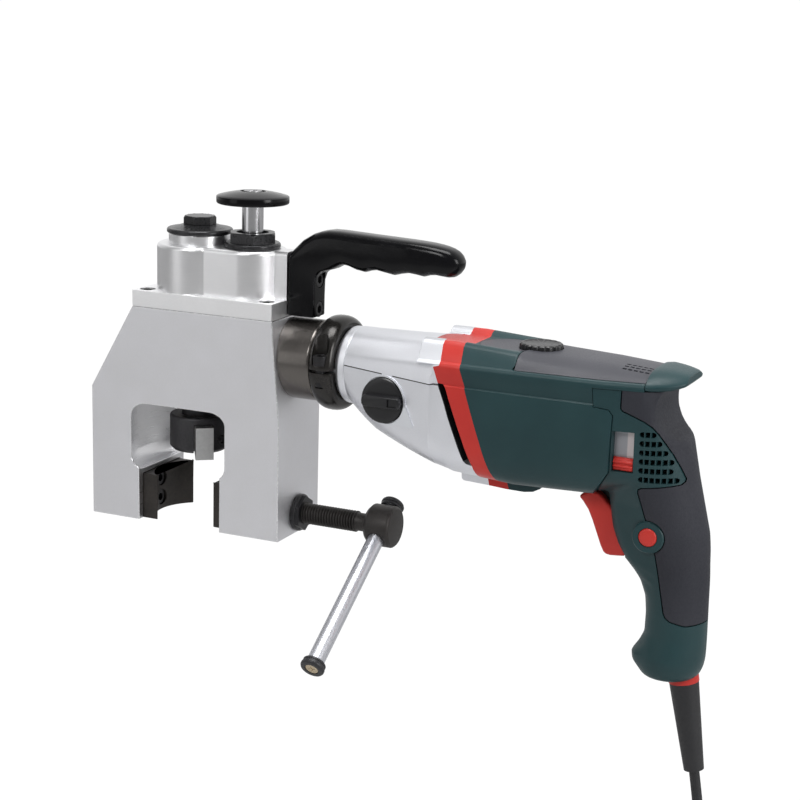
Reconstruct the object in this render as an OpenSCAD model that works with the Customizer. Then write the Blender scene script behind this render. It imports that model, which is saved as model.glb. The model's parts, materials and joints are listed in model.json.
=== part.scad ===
// Pipe-end bevelling machine: a clamp body with an automatic feed head, driven by a pistol-grip drill.
// The origin is on the axis of the clamped pipe, in the plane of the bottom faces of the two legs.
// +X runs along the drive axis towards the drill, +Z runs up along the pipe.

/* [Pipe clamp] */
// Outside diameter of the pipe that the jaws hold
pipe_d = 60; // [44:1:60]
// Height of the jaws
jaw_h = 31; // [24:0.5:33]
// Width of the fixed jaw, front to back
fixed_jaw_w = 47; // [40:0.5:49]
// Width of the moving jaw, front to back
moving_jaw_w = 40; // [34:0.5:44]
// Depth of the fixed jaw's seat in the left leg
jaw_seat = 14; // [11:0.5:18]
// Pipe axis to the back face of the moving jaw
jaw_back = 56; // [50:0.5:57]
// Room behind the moving jaw for opening
jaw_room = 4; // [3:0.5:6]
// Chamfer along the top of the jaws
jaw_chamfer = 4; // [2:0.5:6]

/* [Clamp screw] */
// Height of the screw above the bottom of the legs
screw_z = 13.5; // [12.5:0.5:16]
// Thread diameter
screw_d = 14; // [12:0.5:16]
// Length of thread that shows outside the bush
screw_out = 35; // [25:1:45]
// Diameter of the screw's head
screw_head_d = 27.5; // [24:0.5:32]
// Length of the screw's head
screw_head_l = 19; // [17:0.5:24]
// Length of the neck between thread and head
screw_neck_l = 9; // [5:0.5:12]
// Flange diameter of the bush
bush_flange_d = 25; // [23:0.5:27]
// Diameter of the tommy bar
bar_d = 11; // [8:0.5:12]
// Bar length between its end caps
bar_l = 127.5; // [110:0.5:140]
// Thickness of a bar end cap
bar_cap_l = 5.5; // [4:0.5:8]
// Diameter of a bar end cap
bar_cap_d = 15.7; // [13:0.1:18]
// Angle of the bar below the horizontal
bar_drop = 33.5; // [20:0.5:45]

/* [Body] */
// Pipe axis to the left side
body_left = 67; // [62:0.5:72]
// Pipe axis to the right side
body_right = 76; // [72:0.5:82]
// Front to back
body_depth = 58; // [56:0.5:64]
// Height of the body
body_h = 146.5; // [144:0.5:152]
// Height where the left side starts to lean in
shoulder_z = 89; // [84:0.5:96]
// Height where the right side starts to lean in
kink_z = 80.5; // [70:0.5:88]
// Pipe axis to the left wall of the slot
slot_left = 30; // [30:0.5:33]
// Pipe axis to the right wall of the slot
slot_right = 32; // [30:0.5:34]
// Height of the slot
slot_h = 35; // [34:0.5:38]
// Radius of the cutting chamber that opens to front and back
chamber_r = 46; // [42:0.5:50]
// Height of the cutting chamber
chamber_h = 46; // [42:0.5:48]
// Rounding of the cutting chamber
chamber_round = 9; // [5:0.5:12]

/* [Feed head] */
// Pipe axis to the left edge of the cover
cover_left = 34.5; // [34:0.5:38]
// Pipe axis to the right edge of the cover
cover_right = 70; // [68:0.5:71]
// Thickness of the cover plate
cover_t = 11; // [9:0.5:14]
// Height of the tower on the cover plate
tower_h = 31; // [29:0.5:33]
// Width of the bevel round the tower's top edge
tower_edge = 2.8; // [1.5:0.1:3.5]
// Radius of the tower round the spindle
tower_r = 28.2; // [28:0.1:29]
// Radius of the tower round the plunger
tower_side_r = 23; // [22.5:0.1:25]
// Pipe axis to the plunger axis
plunger_x = 39.7; // [39.2:0.1:40.2]
// Radius of the raised feed collar on the tower
collar_r = 20.5; // [19:0.1:22]
// Height of the raised feed collar
collar_h = 6.5; // [5:0.5:9]
// Diameter of the feed washer
washer_d = 43.6; // [40:0.1:46]
// Thickness of the feed washer
washer_t = 3.2; // [2:0.1:5]
// Rise of the feed washer's cone under the bolt
washer_rise = 2.3; // [1:0.1:3]
// Width across flats of the feed bolt
bolt_af = 19; // [17:1:22]
// Height of the feed bolt's head
bolt_h = 5.7; // [4.5:0.1:8]
// Flange diameter of the gland nut
gland_d = 37; // [34:0.5:40]
// Flange height of the gland nut
gland_flange_h = 3.5; // [2.5:0.5:5]
// Width across flats of the gland nut
gland_af = 29; // [26:1:31]
// Height of the gland nut's hexagon
gland_hex_h = 6.5; // [5:0.5:9]
// Diameter of the plunger rod
rod_d = 14; // [12:0.5:15]
// Rod length that shows between gland and knob
rod_out = 18.5; // [16:0.5:26]
// Diameter of the plunger knob
knob_d = 47.5; // [40:0.5:54]
// Height of the knob's rim
knob_rim_h = 5; // [3:0.5:7]
// Height of the knob's dome above its rim
knob_dome_h = 3.6; // [2:0.2:6]
// Travel of the plunger from free to engaged
plunger_travel = 10; // [9.5:0.1:10]

/* [Cutter] */
// Radius of the cutter hub
hub_r = 20; // [18:0.5:22]
// Height of the hub's bottom face
hub_z = 48; // [46:0.5:52]
// Height of the hub
hub_h = 22; // [20:0.5:24]
// Radius of the spindle
spindle_r = 12; // [10:0.5:12.5]
// Radius that the tool bits reach
bit_reach = 27; // [24:0.5:28.5]
// Width of a tool bit
bit_w = 12; // [8:0.5:13]
// Height of a tool bit
bit_h = 18; // [14:0.5:19]
// Resting angle of the bits, clockwise from +X seen from above
bit_turn = 52; // [0:1:90]

/* [Drive] */
// Height of the drive axis
drive_z = 118.7; // [118:0.1:120]
// Radius of the adapter
adapter_r = 26.5; // [25:0.5:28]
// Pipe axis to the right end of the adapter
adapter_end = 96; // [92:0.5:100]
// Radius of the drill's fixing collar
neck_r = 21.5; // [21:0.1:22]
// Outer radius of the clamp collar
ring_r = 31; // [29:0.5:33]
// Width of the clamp collar
ring_w = 16.5; // [14:0.5:19]

/* [Carry handle] */
// Width of the handle's block
block_w = 18; // [15:0.5:20]
// Length of the handle's block
block_l = 19.5; // [17:0.5:23]
// Width of the handle's grip
grip_w = 23; // [20:0.5:27]
// Height of the grip's underside
grip_z = 177.8; // [176:0.2:180]
// Thickness of the grip
grip_t = 25.2; // [22:0.2:28]
// Pipe axis to the middle of the grip's round end
grip_end = 176.5; // [165:0.5:185]
// Depth of the finger hollows
finger_depth = 3.4; // [2:0.2:5]

/* [Drill] */
// Height of the motor axis
motor_z = 94; // [93.5:0.1:94.5]
// Radius of the motor housing
motor_r = 37; // [36.6:0.1:38]
// Height of the top of the motor housing
motor_top = 147; // [146:0.2:148.5]
// Length from the drill's nose to the largest section
nose_l = 78; // [74:0.5:82]
// Radius of the drill's nose
nose_r = 25; // [24:0.2:26]
// Length from the drill's nose to the end of the upper deck
deck_l = 205; // [202:0.5:210]
// Diameter of the gear selector
selector_d = 29; // [26:0.5:31]
// Diameter of the speed dial
dial_d = 27; // [24:0.5:30]
// Diameter of the lock button
button_d = 11.4; // [9:0.2:12.4]
// Diameter of the mains lead
cord_d = 6.5; // [6.3:0.1:6.5]

/* [Hidden] */
$fn = 64;
run_gap = 0.05;      // radial gap of a shaft or slide in its guide
seat_gap = 0.3;      // gap between parts that move past each other
pipe_r = pipe_d / 2;
half_d = body_depth / 2;
cover_z = body_h + cover_t;
tower_z = cover_z + tower_h;
washer_z = tower_z + collar_h;
bolt_z = washer_z + washer_t + washer_rise;
gland_hex_z = tower_z + gland_flange_h;
gland_z = gland_hex_z + gland_hex_h;
rod_r = rod_d / 2;
knob_z = gland_z + rod_out;
chamber_z = slot_h + chamber_h;
body_outline = [[-body_left, 0], [-body_left, shoulder_z], [-cover_left, body_h], [cover_right, body_h],
    [body_right, kink_z], [body_right, 0]];

// Gears of the drive and of the automatic feed
crown_m = 1.5;
crown_n = 32;
pinion_n = 8;
crown_face = 5;
crown_r = crown_n * crown_m / 2 + 1.5;
crown_z = 100;
crown_pitch_z = drive_z - pinion_n * crown_m / 2;
crown_ring_m = 2 * plunger_x / 52;    // 32 and 20 teeth, from the crown wheel to the shift gear
sleeve_ring_m = 2 * plunger_x / 56;   // 24 and 32 teeth, from the shift gear to the feed sleeve
feed_ring_h = 5;
crown_ring_z = body_h + 1.5;
sleeve_ring_z = crown_ring_z + 16;
gear_room_r = 16.8 * crown_ring_m + 0.5;
shift_room_r = 12.8 * sleeve_ring_m + 1.5;
sleeve_r = 16.9;
sleeve_floor = sleeve_ring_z - 2;
sleeve_roof = sleeve_ring_z + 7;
shift_z = crown_ring_z + plunger_travel;
shift_top = shift_z + 16 + feed_ring_h;
shift_ceiling = shift_top + 2;
thread_r = 14;
thread_z = sleeve_floor + 4;
thread_h = 12;
shaft_r = 8;
bearing_r = 13;
pinion_x = crown_n * crown_m / 2 - 3.6;

// Cover screws and the two handle screws
screw_edge = 7.5;
cover_screw_xy = [for (x = [-cover_left + screw_edge, cover_right - screw_edge]) for (y = [-1, 1])
    [x, y * (half_d - screw_edge)]];
handle_screw_z = [body_h + cover_t / 2, grip_z - 6.3];
m6_r = 3;
m6_head_r = 5;
m6_head_h = 6;

// Clamp screw stations along X
jaw_wall = jaw_back + jaw_room;
bush_flange_l = 3.5;
bush_hex_l = 5.5;
bush_r = screw_d / 2 + 3.5;
thread_end = body_right + bush_flange_l + bush_hex_l + screw_out;
head_x = thread_end + screw_neck_l;
bar_x = head_x + screw_head_l / 2;
bar_top = screw_head_d / 2 + seat_gap;

// Clamp collar and drill; the drill's own stations are counted with its axis at height 118.7 and its nose at 113.1
ring_x = adapter_end + seat_gap;
nose_x = ring_x + ring_w + seat_gap;
neck_x = (adapter_end + nose_x) / 2;
axis_z = 118.7;
nose_at = 113.1;
full_x = nose_at + nose_l;
deck_x = nose_at + deck_l;
deck_z = 127;
grip_shift = deck_l - 205;
motor_room_r = 33.3;
bulkhead_x = [190, 195];
rear_wall_x = 289 + grip_shift;

// Two-speed gear train inside the drill, module 1 throughout: 8 to 24 teeth, then 12 to 40 or 24 to 28 teeth
lay_y = 15.524;
lay_z = motor_z + 3.878;
to_lay = atan2(lay_z - motor_z, lay_y);
to_spindle = atan2(axis_z - lay_z, -lay_y);
low_x = 150;
high_x = 160;
input_x = 178;
train_h = 7;

// Joints between the silver gearbox, the trim band, the motor housing and the handle, seen from the side
gearbox_region = [[60, 30], [60, 170], [186.5, 170], [190, 131], [186, 130], [189, 121.5], [204, 74.5],
    [209.5, 72], [212, 60], [212, 30]];
band_region = [[186.5, 170], [190, 131], [186, 130], [189, 121.5], [195, 119], [209.5, 72], [212, 60], [212, 30],
    [226, 30], [224, 52], [222, 61.5], [206.7, 119], [203.5, 132], [200.5, 170]];
motor_region = [[200.5, 170], [203.5, 132], [206.7, 119], [222, 61.5], [224, 52], [226, 30], [grip_shift + 283, 30],
    [grip_shift + 283, 57],
    [grip_shift + 291.4, 67.3], [grip_shift + 299.3, 79.2], [grip_shift + 300.4, 114], [grip_shift + 298, 117.2],
    [grip_shift + 288.5, 118.4], [grip_shift + 287.5, deck_z], [deck_x, deck_z], [deck_x, 170]];
foot_outline = [[193, 70], [193, 52.5], [210, 50.7], [224, 49.6], [240, 50.6], [249, 56.5], [249, 70]];
cover_front = 238;
cover_edge_z = 134.5;
tongue = [203, 17, 139];

// Handle grip: height, front, back and half width of each level
grip_levels = [[74, 290, 347, 27], [40, 294, 355, 22], [21, 302, 356.4, 20], [8, 314.5, 357, 19.5],
    [-25, 321, 357.5, 19], [-39, 311, 357.3, 21], [-52, 322, 352, 17]];
// Outline of the soft grip on the handle's sides, and of the hard core that it wraps
pad_region = [[302, 126], [302, 114], [325, 109.5], [333.5, 100], [343, 74], [340, 72], [316, 68.5],
    [321.5, 51], [328, 28], [335, -7], [339, -11.5], [348, -13.8], [372, -11.5], [372, 126]];
pad_core = [[290, 121], [290, 60], [310, 30], [318, -20], [352, -20], [351, 30], [345, 66], [338, 92], [326, 112],
    [318, 121]];
pad_core_y = 14;
button_x = 323.3;
button_z = 40;
bezel_r = 10;
bezel_y = -22.8;
trigger_pivot = [285, 57];
trigger_w = 18;
trigger_outline = [[274, 55.4], [283, 60], [290, 57], [303, 40], [306.5, 22.5], [301, 20.9], [294.2, 20.7],
    [290.8, 23.4], [281.8, 45.3]];
trigger_room = [[264, 62], [293, 62], [311, 50], [315, 20.2], [285, 20.2], [264, 50]];
slider_x = [301.1, 313.2];
slider_z = [80.5, 88.5];
slider_travel = 16;
slider_floor_y = -25;
vent_rows = [3, 4, 5, 6, 6, 7];
vent_pitch = [3.4, 5.5];
vent_hole = [2.3, 3.3];
vent_x = 316.5;
vent_z = 102.5;
shell_screw_xz = [[305, 67], [324, 12], [330, -34], [308, 108.5]];

// Mains lead: ring and boot under the handle, a free stretch, then a tied coil and the plug
cord_r = cord_d / 2;
cord_ring_p = [344.5, 0, -49.5];
cord_lean = 10;
cord_ring_l = 5.5;
cord_ring_r = 9.5;
boot_l = 57;
cord_dir = [sin(cord_lean), 0, -cos(cord_lean)];
cord_start = cord_ring_p + (cord_ring_l + boot_l) * cord_dir;
coil_pitch = 7;
coil_in_r = 26.5;
coil_turns = 3.75;
coil_layers = 4;
coil_rings = 24;
coil_out_r = coil_in_r + coil_turns * coil_pitch;
coil_p = [331, 0, -235];
coil_y = coil_pitch * (coil_layers - 1) / 2;
plug_drop = 46;
coil_entry = coil_p + [cord_d, -coil_y, coil_out_r];
cord_route = [cord_start, cord_start + 7 * cord_dir, [358.4, -0.3, -128.2], [360.2, -1.1, -138.4],
    [362, -2.6, -147.6], [363.6, -4.2, -156], [362.9, -5.6, -162.8], [360.2, -6.9, -169.1], [356, -8.1, -174.6],
    [350.6, -9.2, -178.7], [344.3, -10.1, -181.4], coil_entry];

// Winding: turns t from the outside in and out again, one layer at a time, climbing in the half turn at each reversal
function coil_radius(t) = let (u = t % (2 * coil_turns))
    t > coil_layers * coil_turns ? coil_out_r + (t - coil_layers * coil_turns) * coil_pitch
    : coil_in_r + coil_pitch * abs(coil_turns - u);
function coil_side(t) = let (k = max(1, min(coil_layers - 1, round(t / coil_turns))))
    -coil_y + coil_pitch * (k - 1 + max(0, min(1, 2 * (t - k * coil_turns) + 0.5)));
function coil_point(t) = coil_p + [coil_radius(t) * cos(90 + 360 * t), coil_side(t), coil_radius(t) * sin(90 + 360 * t)];
coil_end_t = coil_layers * coil_turns + 0.25;
coil_loops = [for (i = [0:coil_end_t * coil_rings]) coil_point(i / coil_rings)];
coil_last = coil_point(coil_end_t);
plug_p = coil_last - [0, 0, plug_drop];
coil_route = concat([coil_entry], coil_loops, [for (k = [1:4]) coil_last - [0, 0, k * plug_drop / 4]]);
coil_gap = min([for (i = [0:len(coil_loops) - 1]) for (j = [i + 12:1:min(i + 8 * coil_rings, len(coil_loops) - 1)])
    norm(coil_loops[i] - coil_loops[j])]) - cord_d;
echo(coil_gap = coil_gap);

// Basic solids

module x_rod(x0, x1, r, y = 0, z = 0) { translate([x0, y, z]) rotate([0, 90, 0]) cylinder(r = r, h = x1 - x0); }

module y_rod(y0, y1, r, x, z) { translate([x, y0, z]) rotate([-90, 0, 0]) cylinder(r = r, h = y1 - y0); }

module z_rod(z0, z1, r, x = 0, y = 0) { translate([x, y, z0]) cylinder(r = r, h = z1 - z0); }

module z_ring(z0, z1, r, bore, x = 0) {
    translate([x, 0, z0]) linear_extrude(z1 - z0) difference() { circle(r = r); circle(r = bore); }
}

module x_ring(x0, x1, r, bore, y = 0, z = 0) {
    translate([x0, y, z]) rotate([90, 0, 90]) linear_extrude(x1 - x0) difference() {
        circle(r = r);
        circle(r = bore);
    }
}

module box(low, high) { translate(low) cube(high - low); }

module z_hex(z0, z1, flats, x = 0) { translate([x, 0, z0]) cylinder(d = flats / cos(30), h = z1 - z0, $fn = 6); }

// A plate with its outline in X and Z, from y0 to y1
module side_plate(outline, y0, y1) {
    translate([0, y1, 0]) rotate([90, 0, 0]) linear_extrude(y1 - y0) polygon(outline);
}

module rounded_square(w, h, r) {
    square([w - 2 * r, h], center = true);
    square([w, h - 2 * r], center = true);
    for (x = [-1, 1]) for (y = [-1, 1]) translate([x * (w / 2 - r), y * (h / 2 - r)]) circle(r = r);
}

// A turned bar from z = 0 up, chamfered at its two ends
module chamfered_rod(r, h, low, high) {
    rotate_extrude() polygon([[0, 0], [r - low, 0], [r, low], [r, h - high], [r - high, h], [0, h]]);
}

// Straight-flanked spur teeth with generous backlash, a tooth centred at the angle phase
function tooth_shape() = [[-0.3, -1.15], [-0.12, 0.8], [0.12, 0.8], [0.3, -1.15]];

function gear_outline(n, m, phase) = [for (k = [0:n - 1]) for (q = tooth_shape())
    (n * m / 2 + m * q[1]) * [cos(phase + (k + q[0]) * 360 / n), sin(phase + (k + q[0]) * 360 / n)]];

module spur(n, m, h, bore, phase = 0) {
    linear_extrude(h) difference() {
        polygon(gear_outline(n, m, phase));
        if (bore > 0) circle(r = bore);
    }
}

// A spur gear on an axis along X, its angles counted from +Y towards +Z
module x_spur(x, y, z, n, m, h, bore, phase) { translate([x, y, z]) rotate([90, 0, 90]) spur(n, m, h, bore, phase); }

module socket_screw(l) {
    difference() {
        union() {
            cylinder(r = m6_r, h = l);
            translate([0, 0, l]) cylinder(r = m6_head_r, h = m6_head_h);
        }
        translate([0, 0, l + m6_head_h - 3.5]) cylinder(d = 5 / cos(30), h = 4, $fn = 6);
    }
}

// Clamp body

module jaw_block(x0, x1, w) {
    difference() {
        intersection() {
            side_plate([[x0, 0], [x0, jaw_h], [x1 - sign(x1 - x0) * jaw_chamfer, jaw_h],
                [x1, jaw_h - jaw_chamfer], [x1, 0]], -w / 2, w / 2);
            box([min(x0, x1), -w / 2, 0], [max(x0, x1), w / 2, jaw_h]);
        }
        z_rod(-1, jaw_h + 1, pipe_r);
    }
}

module main_body() {
    color("silver") difference() {
        side_plate(body_outline, -half_d, half_d);
        box([-slot_left, -half_d - 1, -1], [slot_right, half_d + 1, slot_h + chamber_h / 2]);
        translate([0, 0, slot_h]) rotate_extrude() {
            square([chamber_r - chamber_round, chamber_h]);
            translate([0, chamber_round]) square([chamber_r, chamber_h - 2 * chamber_round]);
            for (z = [chamber_round, chamber_h - chamber_round]) translate([chamber_r - chamber_round, z])
                circle(r = chamber_round);
        }
        box([-slot_left - jaw_seat, -fixed_jaw_w / 2 - seat_gap, -1],
            [-slot_left + 1, fixed_jaw_w / 2 + seat_gap, jaw_h + seat_gap]);
        box([slot_right - 1, -moving_jaw_w / 2 - seat_gap, -1],
            [jaw_wall, moving_jaw_w / 2 + seat_gap, jaw_h + seat_gap]);
        x_rod(jaw_wall - 1, body_right + 1, bush_r + run_gap, z = screw_z);
        z_rod(chamber_z - 1, crown_z - 2, spindle_r + 5 + run_gap);
        z_rod(crown_z - 2, body_h + 1, gear_room_r);
        x_rod(pinion_x - 1, body_right + 1, bearing_r + run_gap, z = drive_z);
        z_rod(crown_ring_z - plunger_travel - 4, body_h + 1, rod_r + run_gap, plunger_x);
        z_rod(body_h - 4, body_h + 1, rod_r + 4, plunger_x);
        for (p = cover_screw_xy) z_rod(body_h - 14, body_h + 1, m6_r + run_gap, p[0], p[1]);
        for (z = [jaw_h * 0.28, jaw_h * 0.72])
            x_rod(-slot_left - jaw_seat - 12, -slot_left, m6_r + run_gap, z = z);
    }
}

module fixed_jaw() {
    color("dimgray") difference() {
        jaw_block(-slot_left - jaw_seat, -pipe_r * 0.5, fixed_jaw_w);
        for (z = [jaw_h * 0.28, jaw_h * 0.72]) {
            x_rod(-slot_left - jaw_seat - 1, 0, m6_r + run_gap, z = z);
            x_rod(-pipe_r - m6_head_h - 1, 0, m6_head_r + seat_gap, z = z);
        }
    }
}

module moving_jaw() {
    color("dimgray") difference() {
        jaw_block(jaw_back, pipe_r * 0.62, moving_jaw_w);
        x_rod(jaw_back - 9, jaw_back + 1, screw_d / 2 - 2 + run_gap, z = screw_z);
    }
}

module screw_bush() {
    color("#2a2a2c") difference() {
        union() {
            x_rod(jaw_wall + 1, body_right + 1, bush_r, z = screw_z);
            translate([body_right, 0, screw_z]) rotate([0, 90, 0]) {
                chamfered_rod(bush_flange_d / 2, bush_flange_l, 0, 0.8);
                cylinder(d = (screw_d + 7) / cos(30), h = bush_flange_l + bush_hex_l, $fn = 6);
            }
        }
        x_rod(jaw_wall - 1, thread_end, screw_d / 2 + run_gap, z = screw_z);
    }
}

module clamp_screw() {
    color("#2a2a2c") difference() {
        union() {
            x_rod(jaw_back - 8, jaw_back + seat_gap, screw_d / 2 - 2, z = screw_z);
            x_rod(jaw_back + seat_gap, thread_end, screw_d / 2, z = screw_z);
            x_rod(thread_end - 1, head_x + 1, screw_d / 2 - 1, z = screw_z);
            translate([head_x, 0, screw_z]) rotate([0, 90, 0])
                chamfered_rod(screw_head_d / 2, screw_head_l, 3, 1.5);
        }
        on_bar(-screw_head_d) cylinder(d = bar_d + 2 * run_gap, h = 2 * screw_head_d);
    }
}

// Places its children on the tommy bar's axis, that far out from the screw towards the long end
module on_bar(reach) {
    translate([bar_x, 0, screw_z]) rotate([90 + bar_drop, 0, 0]) translate([0, 0, reach]) children();
}

module tommy_bar() { color("lightgray") on_bar(-bar_top) cylinder(d = bar_d, h = bar_l); }

module bar_cap() {
    difference() {
        chamfered_rod(bar_cap_d / 2, bar_cap_l, 0.6, 1.4);
        translate([0, 0, bar_cap_l - 1.5]) cylinder(r = 4.2 + run_gap, h = 2);
    }
}

module bar_caps() {
    color("#1c1c1e") {
        on_bar(-bar_top + bar_l) bar_cap();
        on_bar(-bar_top) rotate([180, 0, 0]) bar_cap();
    }
}

module bar_cap_screw() {
    difference() {
        translate([0, 0, bar_cap_l - 1.5]) cylinder(r = 4.2, h = 1.1);
        for (a = [0, 90]) rotate([0, 0, a]) translate([-2, -0.5, bar_cap_l - 1]) cube([4, 1, 1]);
    }
}

module bar_cap_screws() {
    color("tan") {
        on_bar(-bar_top + bar_l) bar_cap_screw();
        on_bar(-bar_top) rotate([180, 0, 0]) bar_cap_screw();
    }
}

// Feed head

// A length of the tower between x0 and x1, bevelled along its top
module tower_rib(x0, x1, half) {
    translate([x0, 0, 0]) rotate([90, 0, 90]) linear_extrude(x1 - x0)
        polygon([[-half, body_h], [half, body_h], [half, tower_z - tower_edge], [half - tower_edge, tower_z],
            [tower_edge - half, tower_z], [-half, tower_z - tower_edge]]);
}

module gear_cover() {
    color("silver") difference() {
        union() {
            box([-cover_left, -half_d, body_h], [cover_right, half_d, cover_z]);
            translate([0, 0, body_h]) chamfered_rod(tower_r, tower_z - body_h, 0, tower_edge);
            translate([plunger_x, 0, body_h]) chamfered_rod(tower_side_r, tower_z - body_h, 0, tower_edge);
            tower_rib(0, plunger_x, tower_side_r);
            tower_rib(plunger_x, cover_right, block_w / 2);
            z_rod(body_h, washer_z - seat_gap, collar_r);
        }
        z_rod(body_h - 1, sleeve_roof, gear_room_r);
        z_rod(body_h - 1, shift_ceiling, shift_room_r, plunger_x);
        z_rod(body_h - 1, washer_z + 1, sleeve_r + run_gap);
        z_rod(body_h - 1, tower_z + 1, rod_r + 5 + run_gap, plunger_x);
        for (p = cover_screw_xy) {
            z_rod(body_h - 1, cover_z + 1, m6_r + run_gap, p[0], p[1]);
            z_rod(cover_z - m6_head_h - 0.5, cover_z + 1, m6_head_r + seat_gap, p[0], p[1]);
        }
        for (z = handle_screw_z) x_rod(cover_right - 8, cover_right + 1, m6_r + run_gap, z = z);
    }
}

module socket_screws() {
    color("#2a2a2c") {
        for (p = cover_screw_xy) translate([p[0], p[1], cover_z - m6_head_h - 0.5 - 16]) socket_screw(16);
        for (z = handle_screw_z) translate([cover_right - 7, 0, z]) rotate([0, 90, 0]) socket_screw(block_l + 1);
        for (z = [jaw_h * 0.28, jaw_h * 0.72])
            translate([-slot_left - jaw_seat - 10, 0, z]) rotate([0, 90, 0])
                socket_screw(10 + slot_left + jaw_seat - pipe_r - m6_head_h - 1);
        on_collar_screw() translate([0, 0, -11]) socket_screw(14);
    }
}

module head_bearings() {
    color("goldenrod") {
        z_ring(chamber_z + 0.5, crown_z - 2, spindle_r + 5, spindle_r + run_gap);
        z_ring(crown_z - 2, crown_z - 0.2, crown_r - 1, spindle_r + 5.5);
        x_ring(30, 40, bearing_r, shaft_r + run_gap, z = drive_z);
        x_ring(56, 67, bearing_r, shaft_r + run_gap, z = drive_z);
    }
}

// Crown wheel with face teeth for the pinion and a spur ring for the feed, sliding key way down its bore
module crown_gear() {
    root_z = crown_pitch_z - 1.15 * crown_m;
    color("darkgray") difference() {
        union() {
            z_rod(crown_z, root_z, crown_r);
            z_rod(crown_z, crown_ring_z + feed_ring_h, spindle_r + 4);
            translate([0, 0, crown_ring_z]) spur(32, crown_ring_m, feed_ring_h, 0);
            for (k = [0:crown_n - 1]) rotate([0, 0, (k + 0.5) * 360 / crown_n])
                translate([crown_r - crown_face, 0, crown_pitch_z]) rotate([90, 0, 90])
                    linear_extrude(crown_face - 0.3)
                        polygon([for (q = tooth_shape()) crown_m * [0.76 * PI * q[0], q[1] - 0.13]]);
        }
        z_rod(crown_z - 1, crown_ring_z + feed_ring_h + 1, spindle_r + run_gap);
        box([0, -3 - run_gap, crown_z - 1], [spindle_r + 2.6, 3 + run_gap, crown_ring_z + feed_ring_h + 1]);
    }
}

module cutter_spindle() {
    color("darkgray") {
        z_rod(hub_z + 6, thread_z + 1, spindle_r);
        z_rod(thread_z, thread_z + thread_h, thread_r);
        box([spindle_r - 2, -3, crown_z + 12.5], [spindle_r + 2.5, 3, crown_ring_z - 2]);
    }
}

module cutter_head() {
    color("#333336") rotate([0, 0, -bit_turn]) difference() {
        translate([0, 0, hub_z]) chamfered_rod(hub_r, hub_h, 2.5, 1);
        z_rod(hub_z + 6, hub_z + hub_h + 1, spindle_r + run_gap);
        for (a = [0, 180]) rotate([0, 0, a]) {
            box([spindle_r - 1, -bit_w / 2 - run_gap, hub_z - 1],
                [hub_r + 1, bit_w / 2 + run_gap, hub_z + bit_h - 2]);
            y_rod(0, hub_r, m6_r + run_gap, hub_r - 5.5, hub_z + bit_h / 2);
        }
    }
}

module tool_bits() {
    low = hub_z - 2;
    inner = spindle_r + 0.2;
    color("lightgray") rotate([0, 0, -bit_turn]) for (a = [0, 180]) rotate([0, 0, a])
        side_plate([[inner, low + bit_h - run_gap], [bit_reach, low + bit_h - run_gap], [bit_reach, low],
            [bit_reach - 2, low], [bit_reach - 11, low + 7.3], [inner, low + 7.3]], -bit_w / 2, bit_w / 2);
}

module tool_screws() {
    color("#2a2a2c") rotate([0, 0, -bit_turn]) for (a = [0, 180]) rotate([0, 0, a])
        difference() {
            y_rod(bit_w / 2, hub_r - 7.5, m6_r, hub_r - 5.5, hub_z + bit_h / 2);
            translate([hub_r - 5.5, hub_r - 10, hub_z + bit_h / 2]) rotate([-90, 0, 0])
                cylinder(d = 3 / cos(30), h = 4, $fn = 6);
        }
}

module feed_sleeve() {
    color("darkgray") difference() {
        union() {
            z_rod(sleeve_floor, washer_z, sleeve_r);
            translate([0, 0, sleeve_ring_z]) spur(32, sleeve_ring_m, feed_ring_h, 0);
        }
        z_rod(sleeve_floor - 1, washer_z - 8, thread_r + run_gap);
        z_rod(washer_z - 9, washer_z + 1, 6 + run_gap);
    }
}

module feed_washer() {
    color("#1c1c1e") difference() {
        union() {
            translate([0, 0, washer_z]) chamfered_rod(washer_d / 2, washer_t, 0.5, 0.8);
            translate([0, 0, washer_z + washer_t - 0.5])
                cylinder(r1 = washer_d / 2 - 1.2, r2 = bolt_af / 2 / cos(30) + 0.3, h = washer_rise + 0.5);
        }
        z_rod(washer_z - 1, bolt_z + 1, 6 + run_gap);
    }
}

module feed_bolt() {
    color("#1c1c1e") {
        z_rod(washer_z - 7.5, bolt_z + 1, 6);
        intersection() {
            rotate([0, 0, -22]) z_hex(bolt_z, bolt_z + bolt_h, bolt_af);
            translate([0, 0, bolt_z]) chamfered_rod(bolt_af / 2 / cos(30), bolt_h, 0, 1.3);
        }
    }
}

module gland_nut() {
    color("#1c1c1e") difference() {
        union() {
            z_rod(shift_ceiling + seat_gap, tower_z + 1, rod_r + 5, plunger_x);
            translate([plunger_x, 0, tower_z]) chamfered_rod(gland_d / 2, gland_flange_h, 0.5, 1);
            intersection() {
                z_hex(gland_hex_z - 1, gland_z, gland_af, plunger_x);
                translate([plunger_x, 0, gland_hex_z - 1])
                    chamfered_rod(gland_af / 2 / cos(30), gland_hex_h + 1, 0, 1.6);
            }
        }
        z_rod(shift_ceiling - 1, gland_z + 1, rod_r + run_gap, plunger_x);
        z_rod(gland_z - 4, gland_z + 1, rod_r + 3.5, plunger_x);
    }
}

module plunger_rod() {
    color("lightgray") {
        z_rod(crown_ring_z - 2, knob_z, rod_r, plunger_x);
        z_rod(shift_z - 2.7, shift_z - 0.2, rod_r + 3, plunger_x);
        z_rod(shift_top + 0.2, shift_top + 1.5, rod_r + 2.5, plunger_x);
    }
}

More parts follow.
